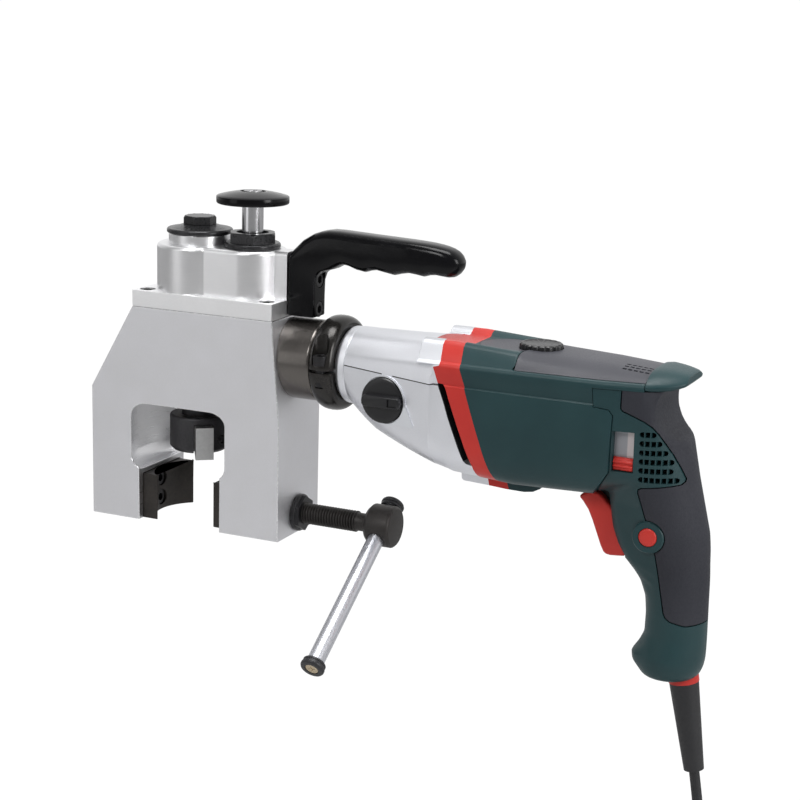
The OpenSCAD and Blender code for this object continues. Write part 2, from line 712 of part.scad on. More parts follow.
module plunger_knob() {
    rim = knob_d / 2;
    top = knob_rim_h + knob_dome_h;
    // The dome is an arc through the rim's edge and the crown
    dome_r = (rim * rim + knob_dome_h * knob_dome_h) / (2 * knob_dome_h);
    color("#1c1c1e") translate([plunger_x, 0, knob_z]) difference() {
        rotate_extrude() intersection() {
            union() {
                polygon([[0, 0], [rim - 1.2, 0], [rim, 1.2], [rim, knob_rim_h], [0, knob_rim_h]]);
                square([rim, top]);
            }
            translate([0, top - dome_r]) circle(r = dome_r, $fn = 360);
            square([rim, top + 1]);
        }
        translate([0, 0, top - 1.2]) cylinder(r = 6.5, h = 2);
    }
}

module knob_screw() {
    top = knob_z + knob_rim_h + knob_dome_h;
    color("gray") difference() {
        z_rod(top - 1.2, top - 0.2, 6, plunger_x);
        translate([plunger_x, 0, top - 0.9]) cylinder(d = 5 / cos(30), h = 2, $fn = 6);
    }
}

module shift_gear() {
    color("darkgray") translate([plunger_x, 0, shift_z]) difference() {
        union() {
            spur(20, crown_ring_m, feed_ring_h, 0, 9);
            translate([0, 0, 16]) spur(24, sleeve_ring_m, feed_ring_h, 0, 7.5);
            cylinder(r = rod_r + 3, h = 16 + feed_ring_h);
        }
        translate([0, 0, -1]) cylinder(r = rod_r + run_gap, h = 18 + feed_ring_h);
    }
}

// Carry handle

module carry_handle() {
    top = grip_z + grip_t;
    nose = grip_t / 2;
    x0 = cover_right;
    x1 = cover_right + block_l;
    color("#18181a") difference() {
        union() {
            intersection() {
                translate([0, grip_w / 2, 0]) rotate([90, 0, 0]) linear_extrude(grip_w) {
                    polygon([[x0, grip_z - 6], [x0, tower_z - 1], [x0 + 6, tower_z + 2], [x0 + 12, tower_z + 8],
                        [x0 + 18, top - 1], [x0 + 24, top + 1.8], [x0 + 30, top + 2.5], [grip_end, top],
                        [grip_end, grip_z], [x1 + 5, grip_z], [x1, grip_z - 6]]);
                    translate([grip_end, grip_z + nose]) circle(r = nose);
                }
                translate([x0, 0, grip_z + 8]) rotate([90, 0, 90]) linear_extrude(grip_end + nose - x0 + 1)
                    rounded_square(grip_w, 2 * grip_t - 8.6, 8);
            }
            translate([x0, 0, 0]) linear_extrude(grip_z) translate([block_l / 2, 0]) intersection() {
                rounded_square(block_l + 6, block_w, 3);
                square([block_l, block_w], center = true);
            }
        }
        box([x0 - 1, -grip_w, -1], [x1 + 9, grip_w, body_h]);
        for (k = [0:3]) y_rod(-grip_w, grip_w, 12, x0 + 36 + 21.8 * k, grip_z + finger_depth - 12);
        for (z = handle_screw_z) {
            x_rod(x0 - 1, x1 + 1, m6_r + run_gap, z = z);
            x_rod(x1 - m6_head_h, x1 + 9, m6_head_r + seat_gap, z = z);
        }
    }
}

// Adapter and clamp collar

module drive_adapter() {
    color("#202022") difference() {
        union() {
            translate([body_right - 12, 0, drive_z]) rotate([0, 90, 0])
                chamfered_rod(adapter_r, adapter_end - body_right + 12, 0, 1.5);
            x_rod(adapter_end - 1, neck_x - seat_gap / 2, neck_r, z = drive_z);
        }
        side_plate(body_outline, -half_d - 5, half_d + 5);
        x_rod(body_right - 20, neck_x + 1, bearing_r + 0.2, z = drive_z);
        box([0, -adapter_r - 1, body_h - seat_gap], [adapter_end + 1, adapter_r + 1, body_h + adapter_r]);
    }
}

// The collar's screw stands upright at its front
module on_collar_screw() { translate([ring_x + ring_w / 2, -neck_r - 5.4, drive_z]) children(); }

module clamp_collar() {
    wall = ring_r - neck_r - run_gap;
    color("#202022") difference() {
        translate([ring_x, 0, drive_z]) rotate([0, 90, 0]) rotate_extrude() {
            translate([neck_r + run_gap, 0]) square([wall / 2, ring_w]);
            translate([neck_r + run_gap + wall / 2, ring_w / 2]) rounded_square(wall, ring_w, wall / 2 - 0.1);
        }
        box([ring_x - 1, -ring_r - 1, drive_z - 2], [ring_x + ring_w + 1, -neck_r + 2, drive_z]);
        on_collar_screw() {
            translate([0, 0, -12]) cylinder(r = m6_r + run_gap, h = 20);
            translate([0, 0, 3]) cylinder(r = m6_head_r + seat_gap, h = 30);
        }
    }
}

module drive_pinion() {
    color("darkgray") difference() {
        union() {
            x_spur(pinion_x, 0, drive_z, pinion_n, crown_m, crown_face, 0, 0);
            x_rod(pinion_x + crown_face - 0.5, pinion_x + crown_face + 1, (pinion_n / 2 - 1) * crown_m, z = drive_z);
            x_rod(pinion_x + crown_face + 0.5, body_right + 10, shaft_r, z = drive_z);
            x_rod(body_right + 8, adapter_end + 5, shaft_r + 4, z = drive_z);
        }
        x_rod(body_right + 14, adapter_end + 6, shaft_r + run_gap, z = drive_z);
    }
}

// Drill

module on_drill() { translate([nose_x - nose_at, 0, drive_z - axis_z]) children(); }

// The handle and the mains lead keep their place at the rear of a longer drill
module on_grip() { on_drill() translate([grip_shift, 0, 0]) children(); }

module motor_split() { translate([-grip_shift, 0, 0]) side_plate(motor_region, -80, 80); }

// One section of the housing: a round belly and two rounded shoulders
module housing_slice(x, belly_r, belly_z, shoulder_y, shoulder_top, shoulder_r) {
    x_rod(x, x + 0.1, belly_r, z = belly_z, $fn = 48);
    for (s = [-1, 1]) x_rod(x, x + 0.1, shoulder_r, s * shoulder_y, shoulder_top - shoulder_r, $fn = 32);
}

module drill_form() {
    hull() {
        x_rod(nose_at + 6, nose_at + 6.1, nose_r, z = axis_z, $fn = 48);
        x_rod(nose_at + 28, nose_at + 28.1, nose_r + 3.5, z = axis_z - 13.5, $fn = 48);
        x_rod(nose_at + 52, nose_at + 52.1, nose_r + 7.5, z = axis_z - 18.4, $fn = 48);
        housing_slice(full_x, motor_r - 0.2, motor_z + 4, 21.5, motor_top, 12);
        housing_slice(full_x + 32, motor_r, motor_z, 21.5, motor_top - 1.7, 12);
        housing_slice(deck_x - 28, motor_r - 1.5, motor_z, 21, motor_top - 5, 11);
        housing_slice(deck_x - 0.1, motor_r - 6, motor_z + 4, 22, motor_top - 7.4, 7);
    }
    side_plate(foot_outline, -13, 13);
}

// The room of the motor, narrower in front where the housing rises
module motor_room() {
    x_rod(full_x + 19, rear_wall_x, motor_room_r, z = motor_z);
    translate([bulkhead_x[1], 0, motor_z]) rotate([0, 90, 0])
        cylinder(r1 = motor_room_r - 6, r2 = motor_room_r, h = full_x + 19.1 - bulkhead_x[1]);
}

module gearbox_housing() {
    color("silver") on_drill() difference() {
        union() {
            intersection() {
                drill_form();
                side_plate(gearbox_region, -80, 80);
            }
            translate([nose_at, 0, axis_z]) rotate([0, 90, 0]) chamfered_rod(nose_r, 8, 2.5, 0);
            x_rod(nose_at - ring_w / 2, nose_at + 1, neck_r, z = axis_z);
        }
        x_rod(60, low_x - 16, bearing_r + 1, z = axis_z);
        x_rod(low_x - 17, low_x - 1, bearing_r + run_gap, z = axis_z);
        x_rod(low_x - 2, bulkhead_x[0], 21.6, z = axis_z);
        x_rod(low_x - 2, bulkhead_x[0], 13.6, lay_y, lay_z);
        x_rod(low_x - 8, low_x, 4 + run_gap, lay_y, lay_z);
        x_rod(input_x - 3, bulkhead_x[0], 8, z = motor_z);
        x_rod(bulkhead_x[0] - 1, bulkhead_x[1] + 1, 9 + run_gap, z = motor_z);
        motor_room();
        y_rod(-60, -28.6, selector_d / 2 + 0.6, 150.9, 105.2);
        y_rod(-30, -24.5, 4 + run_gap, 150.9, 105.2);
    }
}

module trim_band() {
    color("firebrick") on_drill() difference() {
        intersection() {
            drill_form();
            side_plate(band_region, -80, 80);
        }
        motor_room();
        x_rod(180, bulkhead_x[1] + 1, motor_room_r - 6, z = motor_z);
        tongue_room(0);
    }
}

// Space of the top cover and its narrow front tongue
module tongue_room(lift) {
    box([tongue[0], -tongue[1], tongue[2] + lift], [cover_front + 1, tongue[1], 170]);
    box([cover_front, -80, cover_edge_z + lift], [deck_x + 1, 80, 170]);
}

module motor_housing() {
    color("darkslategray") on_drill() difference() {
        intersection() {
            drill_form();
            side_plate(motor_region, -80, 80);
        }
        motor_room();
        x_rod(rear_wall_x - 1, rear_wall_x + 7, 9 + run_gap, z = motor_z);
        tongue_room(0);
        translate([grip_shift, 0, 0]) side_plate(trigger_room, -trigger_w / 2 - 0.7, trigger_w / 2 + 0.7);
    }
}

module top_cover() {
    color("#3a3c3e") on_drill() difference() {
        intersection() {
            drill_form();
            tongue_room(0);
        }
        z_rod(motor_top - 8, motor_top + 9, dial_d / 2 + 0.4, 242.6);
        z_rod(motor_top - 14, motor_top, 3 + run_gap, 242.6);
        for (k = [0:4]) box([deck_x - 24 + 4.4 * k, -20, motor_top - 10], [deck_x - 22 + 4.4 * k, -4, motor_top + 9]);
    }
}

module speed_dial() {
    color("#18181a") on_drill() translate([242.6, 0, 0]) {
        translate([0, 0, motor_top - 7.6]) linear_extrude(8.8) {
            circle(r = dial_d / 2 - 0.8);
            for (k = [0:29]) rotate(12 * k) translate([dial_d / 2 - 0.8, 0]) circle(r = 0.8, $fn = 8);
        }
        z_rod(motor_top - 12, motor_top - 7, 3);
    }
}

module tail_cap() {
    color("darkslategray") on_drill() hull() {
        for (s = [-1, 1]) {
            x_rod(deck_x, deck_x + 0.1, 5, s * 25, deck_z + 5, $fn = 24);
            x_rod(deck_x, deck_x + 0.1, 6, s * 17, motor_top - 13.6, $fn = 24);
            translate([deck_x + 21, s * 9, deck_z + 9]) sphere(r = 3.4, $fn = 16);
            translate([deck_x + 13, s * 19, deck_z + 4]) sphere(r = 3.4, $fn = 16);
        }
    }
}

module gear_selector() {
    color("#18181a") on_drill() translate([150.9, 0, 105.2]) {
        y_rod(-33, -28.9, selector_d / 2, 0, 0);
        y_rod(-29, -24.8, 4, 0, 0);
        intersection() {
            y_rod(-38, -32, selector_d / 2, 0, 0);
            box([-selector_d, -38, -4.6], [selector_d, -32, 4.6]);
        }
    }
}

module drill_spindle() {
    color("darkgray") {
        x_rod(body_right + 14.5, nose_x, shaft_r, z = drive_z);
        on_drill() x_rod(nose_at - 1, input_x - 4, shaft_r, z = axis_z);
    }
}

module drill_bearings() {
    color("goldenrod") on_drill() {
        x_ring(low_x - 16, low_x - 5, bearing_r, shaft_r + run_gap, z = axis_z);
        x_ring(bulkhead_x[0], bulkhead_x[1], 9, 4 + run_gap, z = motor_z);
        x_ring(rear_wall_x, rear_wall_x + 6, 9, 4 + run_gap, z = motor_z);
    }
}

module low_gear() {
    color("darkgray") on_drill() x_spur(low_x, 0, axis_z, 40, 1, train_h, shaft_r + run_gap, to_spindle + 184.5);
}

module high_gear() {
    color("darkgray") on_drill()
        x_spur(high_x, 0, axis_z, 28, 1, train_h, shaft_r + run_gap, to_spindle + 180 + 180 / 28);
}

module gear_shaft() {
    color("darkgray") on_drill() {
        x_rod(low_x - 7, input_x + train_h + 2, 4, lay_y, lay_z);
        x_spur(low_x, lay_y, lay_z, 12, 1, train_h, 0, to_spindle);
        x_spur(high_x, lay_y, lay_z, 24, 1, train_h, 0, to_spindle);
        x_spur(input_x, lay_y, lay_z, 24, 1, train_h, 0, to_lay + 187.5);
    }
}

module armature() {
    color("peru") on_drill() {
        x_spur(input_x, 0, motor_z, 8, 1, train_h, 0, to_lay);
        x_rod(input_x + train_h, rear_wall_x + 5, 4, z = motor_z);
        x_rod(226, rear_wall_x - 15, 21, z = motor_z);
        x_rod(rear_wall_x - 10, rear_wall_x - 1.5, 13, z = motor_z);
    }
}

module cooling_fan() {
    color("#303032") on_drill() {
        x_ring(212, 213.5, 31, 4 + run_gap, z = motor_z);
        x_ring(212, 221, 8, 4 + run_gap, z = motor_z);
        for (k = [0:8]) translate([212, 0, motor_z]) rotate([40 * k, 0, 0]) translate([0, 7, -0.75]) cube([8, 23, 1.5]);
    }
}

module stator() { color("gray") on_drill() x_ring(227, rear_wall_x - 16, motor_room_r - 0.1, 22, z = motor_z); }

module carbon_brushes() {
    color("#303032") on_drill() for (s = [-1, 1])
        translate([rear_wall_x - 8, s * 23.1 - 9.9, motor_z - 4]) cube([5, 19.8, 8]);
}

// Handle

module grip_slice(level) {
    z = level[0];
    front_r = 0.7 * level[3];
    z_rod(z, z + 0.1, front_r, level[1] + front_r, $fn = 32);
    z_rod(z, z + 0.1, level[3], level[2] - level[3], $fn = 40);
}

module handle_form() {
    hull() {
        x_rod(284, 284.1, motor_r - 2, z = motor_z, $fn = 48);
        x_rod(318, 318.1, 26, z = 97, $fn = 48);
        x_rod(331, 331.1, 13, z = 107, $fn = 32);
        grip_slice(grip_levels[0]);
    }
    for (k = [0:5]) hull() {
        grip_slice(grip_levels[k]);
        grip_slice(grip_levels[k + 1]);
    }
}

// Where the soft grip lies: its outline less the core and the button's bezel
module pad_space() {
    difference() {
        side_plate(pad_region, -80, 80);
        side_plate(pad_core, -pad_core_y, pad_core_y);
        y_rod(-80, 80, bezel_r + 0.3, button_x, button_z);
    }
}

// Everything cut out of the handle's two shells
module handle_cuts() {
    motor_split();
    trigger_arm(0.3);
    side_plate(trigger_room, -trigger_w / 2 - 0.7, trigger_w / 2 + 0.7);
    box([317, -11.3, 24], [339, 11.3, 58]);
    box([313, -17, 71], [334, 17, 105.5]);
    for (s = [-1, 1]) for (row = [0:5]) for (k = [0:vent_rows[row] - 1])
        translate([vent_x + k * vent_pitch[0], s * 25 - 10, vent_z - row * vent_pitch[1] - vent_hole[1] / 2])
            cube([vent_hole[0], 20, vent_hole[1]]);
    on_cord() z_rod(-10, 30, cord_ring_r + run_gap);
}

module handle_half(side) {
    difference() {
        handle_form();
        pad_space();
        handle_cuts();
        translate([200, side < 0 ? 0 : -100, -150]) cube([250, 100, 400]);
    }
}

module handle_shell_left() {
    color("darkslategray") on_grip() difference() {
        union() {
            handle_half(-1);
            y_rod(bezel_y, -17, bezel_r, button_x, button_z);
        }
        y_rod(-80, -11, button_d / 2 + 0.15, button_x, button_z);
        box([slider_x[0] - 0.5, -80, slider_z[0] - 0.5],
            [slider_x[1] + 0.5, slider_floor_y, slider_z[1] + slider_travel + 0.5]);
        for (p = shell_screw_xz) y_rod(-10, 1, 2, p[0], p[1]);
    }
}

module handle_shell_right() {
    color("darkslategray") on_grip() difference() {
        handle_half(1);
        for (p = shell_screw_xz) {
            y_rod(-1, 80, 2, p[0], p[1]);
            y_rod(10, 80, 3.6, p[0], p[1]);
        }
    }
}

module grip_pad() {
    color("#26282a") on_grip() difference() {
        intersection() {
            handle_form();
            pad_space();
        }
        motor_split();
    }
}

module shell_screws() {
    color("gray") on_grip() for (p = shell_screw_xz) {
        y_rod(-9, 10, 1.95, p[0], p[1]);
        y_rod(10, 12.6, 3.4, p[0], p[1]);
    }
}

// An arm of the switch block carries the pin that the trigger turns on
module trigger_arm(gap) {
    side_plate([[281.5, 54 - gap], [281.5, 59.6 + gap], [290, 60.2 + gap], [318, 55 + gap], [318, 49 - gap],
        [291, 54 - gap]], -3 - gap, 3 + gap);
}

module trigger() {
    color("firebrick") on_grip() difference() {
        side_plate(trigger_outline, -trigger_w / 2, trigger_w / 2);
        box([270, -3.4, 50], [300, 3.4, 65]);
        y_rod(-7, 7, 1.5 + run_gap, trigger_pivot[0], trigger_pivot[1]);
    }
}

module lock_button() { color("firebrick") on_grip() y_rod(bezel_y - 0.6, -14.2, button_d / 2, button_x, button_z); }

module slider_plate() {
    color("silver") on_grip() box([slider_x[0] - 0.5, slider_floor_y - 0.8, slider_z[0] - 0.5],
        [slider_x[1] + 0.5, slider_floor_y, slider_z[1] + slider_travel + 0.5]);
}

module direction_slider() {
    color("firebrick") on_grip()
        box([slider_x[0], slider_floor_y - 4.2, slider_z[0]], [slider_x[1], slider_floor_y - 0.9, slider_z[1]]);
}

module switch_block() {
    color("#303032") on_grip() {
        box([317, -11.2, 25], [338.5, 11.2, 57]);
        trigger_arm(0);
        y_rod(-6.7, 6.7, 1.5, trigger_pivot[0], trigger_pivot[1]);
    }
}

// Mains lead

module on_cord() { translate(cord_ring_p) rotate([0, 180 - cord_lean, 0]) children(); }

module cord_ring() { color("firebrick") on_grip() on_cord() z_ring(0, cord_ring_l, cord_ring_r, 7); }

module cord_boot() {
    color("#202022") on_grip() on_cord() rotate_extrude()
        polygon([[0, -8], [6.95, -8], [6.95, cord_ring_l], [9.2, cord_ring_l], [6.3, cord_ring_l + boot_l],
            [0, cord_ring_l + boot_l]]);
}

// A tube of the given radius along a route that stays near the X-Z plane, square at both ends
module swept_tube(route, r, sides, first, last) {
    n = len(route);
    way = [for (i = [0:n - 1]) let (d = i == 0 ? first : i == n - 1 ? last : route[i + 1] - route[i - 1]) d / norm(d)];
    rings = [for (i = [0:n - 1]) let (u = cross(way[i], [0, 1, 0]), a = u / norm(u), b = cross(way[i], a))
        for (k = [0:sides - 1]) route[i] + r * (cos(360 * k / sides) * a + sin(360 * k / sides) * b)];
    polyhedron(points = rings, faces = concat([[for (k = [0:sides - 1]) k]],
        [[for (k = [sides - 1:-1:0]) (n - 1) * sides + k]],
        [for (i = [0:n - 2]) for (k = [0:sides - 1]) let (j = (k + 1) % sides)
            [i * sides + j, i * sides + k, (i + 1) * sides + k, (i + 1) * sides + j]]));
}

module mains_cord() { color("#202022") on_grip() swept_tube(cord_route, cord_r, 12, cord_dir, [-1, 0, 0]); }

module cord_coil() { color("#202022") on_grip() swept_tube(coil_route, cord_r, 6, [-1, 0, 0], [0, 0, -1]); }

module coil_tie() {
    w = coil_out_r - coil_in_r + cord_d + 4.4;
    h = 2 * coil_y + cord_d + 4.4;
    color("#303032") on_grip() translate(coil_p + [(coil_out_r + coil_in_r) / 2, 0, -4]) linear_extrude(8) difference() {
        rounded_square(w, h, 4);
        rounded_square(w - 3, h - 3, 2.5);
    }
}

module mains_plug() {
    color("#202022") on_grip() translate(plug_p) rotate([180, 0, 0]) {
        rotate_extrude() polygon([[0, 0], [5, 0], [6, 14], [17.5, 20], [18.5, 22], [18.5, 38], [17.5, 39], [0, 39]]);
        for (s = [-1, 1]) translate([s * 9.5, 0, 38]) chamfered_rod(2.4, 20, 0, 0.8);
    }
}

main_body();
gear_cover();
socket_screws();
head_bearings();
crown_gear();
cutter_spindle();
cutter_head();
tool_bits();
tool_screws();
feed_sleeve();
feed_washer();
feed_bolt();
gland_nut();
plunger_rod();
plunger_knob();
knob_screw();
shift_gear();
fixed_jaw();
moving_jaw();
clamp_screw();
screw_bush();
tommy_bar();
bar_caps();
bar_cap_screws();
carry_handle();
drive_adapter();
clamp_collar();
drive_pinion();
drill_spindle();
drill_bearings();
low_gear();
high_gear();
gear_shaft();
armature();
cooling_fan();
stator();
carbon_brushes();
gearbox_housing();
gear_selector();
trim_band();
motor_housing();
top_cover();
speed_dial();
tail_cap();
handle_shell_left();
handle_shell_right();
grip_pad();
trigger();
lock_button();
direction_slider();
slider_plate();
switch_block();
shell_screws();
cord_ring();
cord_boot();
mains_cord();
cord_coil();
coil_tie();
mains_plug();
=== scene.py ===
import json
from math import asin, copysign, cos, degrees, pi, radians, sin, sqrt

import bmesh
import bpy
from mathutils import Matrix, Vector

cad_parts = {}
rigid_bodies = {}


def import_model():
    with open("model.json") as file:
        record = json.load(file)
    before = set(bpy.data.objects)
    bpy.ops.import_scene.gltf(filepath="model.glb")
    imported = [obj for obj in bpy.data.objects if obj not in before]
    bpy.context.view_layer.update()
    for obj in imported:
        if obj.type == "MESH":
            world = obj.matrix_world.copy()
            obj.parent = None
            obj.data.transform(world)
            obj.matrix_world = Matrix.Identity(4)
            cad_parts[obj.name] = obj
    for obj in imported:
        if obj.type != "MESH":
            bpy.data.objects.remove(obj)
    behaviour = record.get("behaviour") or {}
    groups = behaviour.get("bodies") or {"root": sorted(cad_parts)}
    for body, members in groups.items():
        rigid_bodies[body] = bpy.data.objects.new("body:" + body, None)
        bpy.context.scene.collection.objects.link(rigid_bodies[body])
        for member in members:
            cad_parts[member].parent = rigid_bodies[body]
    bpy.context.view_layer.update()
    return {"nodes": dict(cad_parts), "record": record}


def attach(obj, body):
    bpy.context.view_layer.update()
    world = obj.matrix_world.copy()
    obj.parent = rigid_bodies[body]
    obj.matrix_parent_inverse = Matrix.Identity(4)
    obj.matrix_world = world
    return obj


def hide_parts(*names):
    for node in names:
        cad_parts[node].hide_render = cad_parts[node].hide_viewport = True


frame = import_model()
nodes = frame["nodes"]
mm = 0.001
far = 80  # millimetres, past both sides of the drill
print("frame loaded with", len(nodes), "nodes")


def linked(name, data):  # a new object in the scene
    made = bpy.data.objects.new(name, data)
    bpy.context.scene.collection.objects.link(made)
    return made


# the camera stands where the photograph was taken from, measured in millimetres
cameraView = {"place": (610.759, -1026.817, 360.261), "yaw": 24.243, "pitch": 13.067, "roll": 1.586,
              "lens": 81.21}


def setCamera(v):
    yaw, pitch, roll = (radians(v[k]) for k in ("yaw", "pitch", "roll"))
    back = Vector((sin(yaw) * cos(pitch), -cos(yaw) * cos(pitch), sin(pitch)))
    right = Vector((cos(yaw), sin(yaw), 0))
    up = back.cross(right)
    side = right * cos(roll) + up * sin(roll)
    top = up * cos(roll) - right * sin(roll)
    data = bpy.data.cameras.new("photoCamera")
    data.lens = v["lens"]
    data.sensor_width = 36
    camera = linked("photoCamera", data)
    turn = Matrix((side, top, back)).transposed().to_4x4()
    camera.matrix_world = Matrix.Translation(Vector(v["place"]) * mm) @ turn
    bpy.context.scene.camera = camera


setCamera(cameraView)
bpy.context.scene.view_settings.view_transform = "Standard"
print("camera set")


# small helpers for modelling by operators
def deselectAll():
    if bpy.context.object and bpy.context.object.mode != "OBJECT":
        bpy.ops.object.mode_set(mode="OBJECT")
    for o in bpy.data.objects:
        o.select_set(False)


def activate(piece):
    deselectAll()
    piece.select_set(True)
    bpy.context.view_layer.objects.active = piece


def editMesh(piece):
    activate(piece)
    bpy.ops.object.mode_set(mode="EDIT")
    return bmesh.from_edit_mesh(piece.data)


def leaveEdit():
    bpy.ops.object.mode_set(mode="OBJECT")


def pickAll(action="SELECT"):
    bpy.ops.mesh.select_all(action=action)


def addPiece(name, adder, **sizes):
    deselectAll()
    adder(**sizes)
    piece = bpy.context.object
    piece.name = name
    piece.data.name = name
    return piece


def settle(piece):  # puts the object's place into its mesh
    activate(piece)
    bpy.ops.object.transform_apply(location=True, rotation=True, scale=True)
    return piece


def useModifier(piece, kind, **settings):
    activate(piece)
    m = piece.modifiers.new(kind.title(), kind)
    for key, value in settings.items():
        setattr(m, key, value)
    bpy.ops.object.modifier_apply(modifier=m.name)
    return piece


def smoothBy(piece, angle=35):
    activate(piece)
    bpy.ops.object.shade_smooth_by_angle(angle=radians(angle))
    return piece


def flatten(piece, angle=32):  # smooth rounds beside faces that stay flat
    smoothBy(piece, angle)
    return useModifier(piece, "WEIGHTED_NORMAL", weight=60, keep_sharp=True)


def bevel(piece, width, angle=40, segments=2, clamp=False, **more):
    return useModifier(piece, "BEVEL", width=width * mm, segments=segments, limit_method="ANGLE",
                       angle_limit=radians(angle), use_clamp_overlap=clamp, **more)


def roundEdges(piece, width, segments=2):
    bevel(piece, width, 35, segments, True, miter_outer="MITER_ARC")
    return smoothBy(piece, 40)


def combine(piece, other, operation):
    useModifier(piece, "BOOLEAN", object=other, operation=operation, solver="EXACT")
    bpy.data.objects.remove(other)
    return piece


def addTo(piece, other):
    return combine(piece, other, "UNION")


def keepIn(piece, room):
    return combine(piece, room, "INTERSECT")


def cutWith(piece, *cutters):
    for cutter in cutters:
        combine(piece, cutter, "DIFFERENCE")
    return piece


def joinPieces(main, *others):
    activate(main)
    for o in others:
        o.select_set(True)
    bpy.ops.object.join()
    return main


def fixNormals(piece, merge=0.00001):
    editMesh(piece)
    pickAll()
    bpy.ops.mesh.remove_doubles(threshold=merge)
    bpy.ops.mesh.normals_make_consistent(inside=False)
    leaveEdit()
    return piece


def copyPiece(piece, name):
    return linked(name, piece.data.copy())


def copyNode(node, name):  # a merged copy of a CAD node with its flat faces joined up
    piece = copyPiece(nodes[node], name)
    piece.data.materials.clear()
    editMesh(piece)
    pickAll()
    bpy.ops.mesh.remove_doubles(threshold=0.000002)
    bpy.ops.mesh.dissolve_limited(angle_limit=radians(0.4), delimit={"NORMAL"})
    leaveEdit()
    return piece


def dress(piece, *keys):  # finishes by their keys, the first on every face
    piece.data.materials.clear()
    for key in keys:
        piece.data.materials.append(finish[key])


bodyOf = {n: b for b, members in frame["record"]["behaviour"]["bodies"].items() for n in members}


def standFor(piece, *members, slot=None):  # the piece moves with its nodes and is shown for them
    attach(piece, bodyOf[members[0]])
    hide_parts(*members)
    return piece


def finishPiece(piece, node, *keys, slot=None):
    dress(piece, *keys)
    return standFor(piece, node, slot=slot)


def spotOf(v):
    return tuple(round(c, 9) for c in v.co)


def pickLoop(mesh, loop):
    pickAll("DESELECT")
    for v in loop:
        v.select = True
    mesh.select_flush(True)


def ringLoft(name, rings, capFirst=True, capLast=True):
    # a skin drawn by extruding one edge loop from section to section, in millimetres
    piece = addPiece(name, bpy.ops.mesh.primitive_circle_add, vertices=len(rings[0]), radius=1)
    mesh = editMesh(piece)
    mesh.verts.ensure_lookup_table()
    loop = list(mesh.verts)
    for v, p in zip(loop, rings[0]):
        v.co = Vector(p) * mm
    if capFirst:
        pickAll()
        bpy.ops.mesh.edge_face_add()
    for ring in rings[1:]:
        mesh = bmesh.from_edit_mesh(piece.data)
        spots = {spotOf(v): i for i, v in enumerate(loop)}
        pickLoop(mesh, loop)
        bpy.ops.mesh.extrude_edges_move()
        mesh = bmesh.from_edit_mesh(piece.data)
        loop = sorted((v for v in mesh.verts if v.select), key=lambda v: spots[spotOf(v)])
        for v, p in zip(loop, ring):
            v.co = Vector(p) * mm
    bmesh.update_edit_mesh(piece.data)
    if capLast:
        pickLoop(mesh, loop)
        bpy.ops.mesh.edge_face_add()
    pickAll()
    bpy.ops.mesh.normals_make_consistent(inside=False)
    leaveEdit()
    return piece


def sidePrism(name, outline, y0=-far, y1=far):
    # a block with its outline in X and Z, drawn as one face and extruded through Y
    return ringLoft(name, [[(x, y, z) for x, z in outline] for y in (y0, y1)])


def turned(name, origin, axis, profile, sides=64, closed=False):
    # a lathe part: pairs of distance along the axis and radius, in millimetres, capped or joined into a ring
    axis = Vector(axis).normalized()
    across = Vector((0, 0, 1)) if abs(axis.z) < 0.9 else Vector((1, 0, 0))
    u = axis.cross(across).normalized()
    w = axis.cross(u)
    turns = [2 * pi * k / sides for k in range(sides)]
    spokes = [u * cos(t) + w * sin(t) for t in turns]
    rings = [[Vector(origin) + axis * along + radius * s for s in spokes] for along, radius in profile]
    if closed:
        rings.append(rings[0])
    piece = ringLoft(name, rings, not closed, not closed)
    if closed:
        fixNormals(piece)
    return smoothBy(piece, 35)


def xRod(name, x0, x1, radius, z, y=0, sides=64):
    return turned(name, (x0, y, z), (1, 0, 0), [(0, radius), (x1 - x0, radius)], sides)


def yRod(name, y0, y1, radius, x, z, sides=48):
    return turned(name, (x, y0, z), (0, 1, 0), [(0, radius), (y1 - y0, radius)], sides)


def zRod(name, z0, z1, radius, x, y=0, sides=64):
    return turned(name, (x, y, z0), (0, 0, 1), [(0, radius), (z1 - z0, radius)], sides)


def block(name, low, high):
    x0, y0, z0 = low
    x1, y1, z1 = high
    return sidePrism(name, [(x0, z0), (x1, z0), (x1, z1), (x0, z1)], y0, y1)


def paintFaces(piece, index, test):
    for face in piece.data.polygons:
        if test(face.center / mm, face.normal):
            face.material_index = index


# node trees: a wire is a node's output that may be used in sums
class Wire:
    def __init__(self, owner, socket):
        self.owner = owner
        self.socket = socket

    def work(self, operation, a, b):
        return self.owner.make("ShaderNodeMath", {"operation": operation}, {0: a, 1: b})

    def __add__(self, other):
        return self.work("ADD", self, other)

    def __mul__(self, other):
        return self.work("MULTIPLY", self, other)

    __radd__, __rmul__ = __add__, __mul__

    def above(self, low, high, start=0, end=1):  # start below low, end above high
        sockets = {"Value": self, "From Min": low, "From Max": high, "To Min": start, "To Max": end}
        return self.owner.make("ShaderNodeMapRange", {"clamp": True}, sockets)


class NodeTree:
    def __init__(self, tree):
        self.tree = tree

    def put(self, node, sockets):
        for key, value in sockets.items():
            if isinstance(value, Wire):
                self.tree.links.new(value.socket, node.inputs[key])
            else:
                node.inputs[key].default_value = value

    def make(self, kind, settings, sockets, output=0):
        node = self.tree.nodes.new(kind)
        for key, value in settings.items():
            setattr(node, key, value)
        self.put(node, sockets)
        return Wire(self, node.outputs[output])


even = (1, 1, 1)


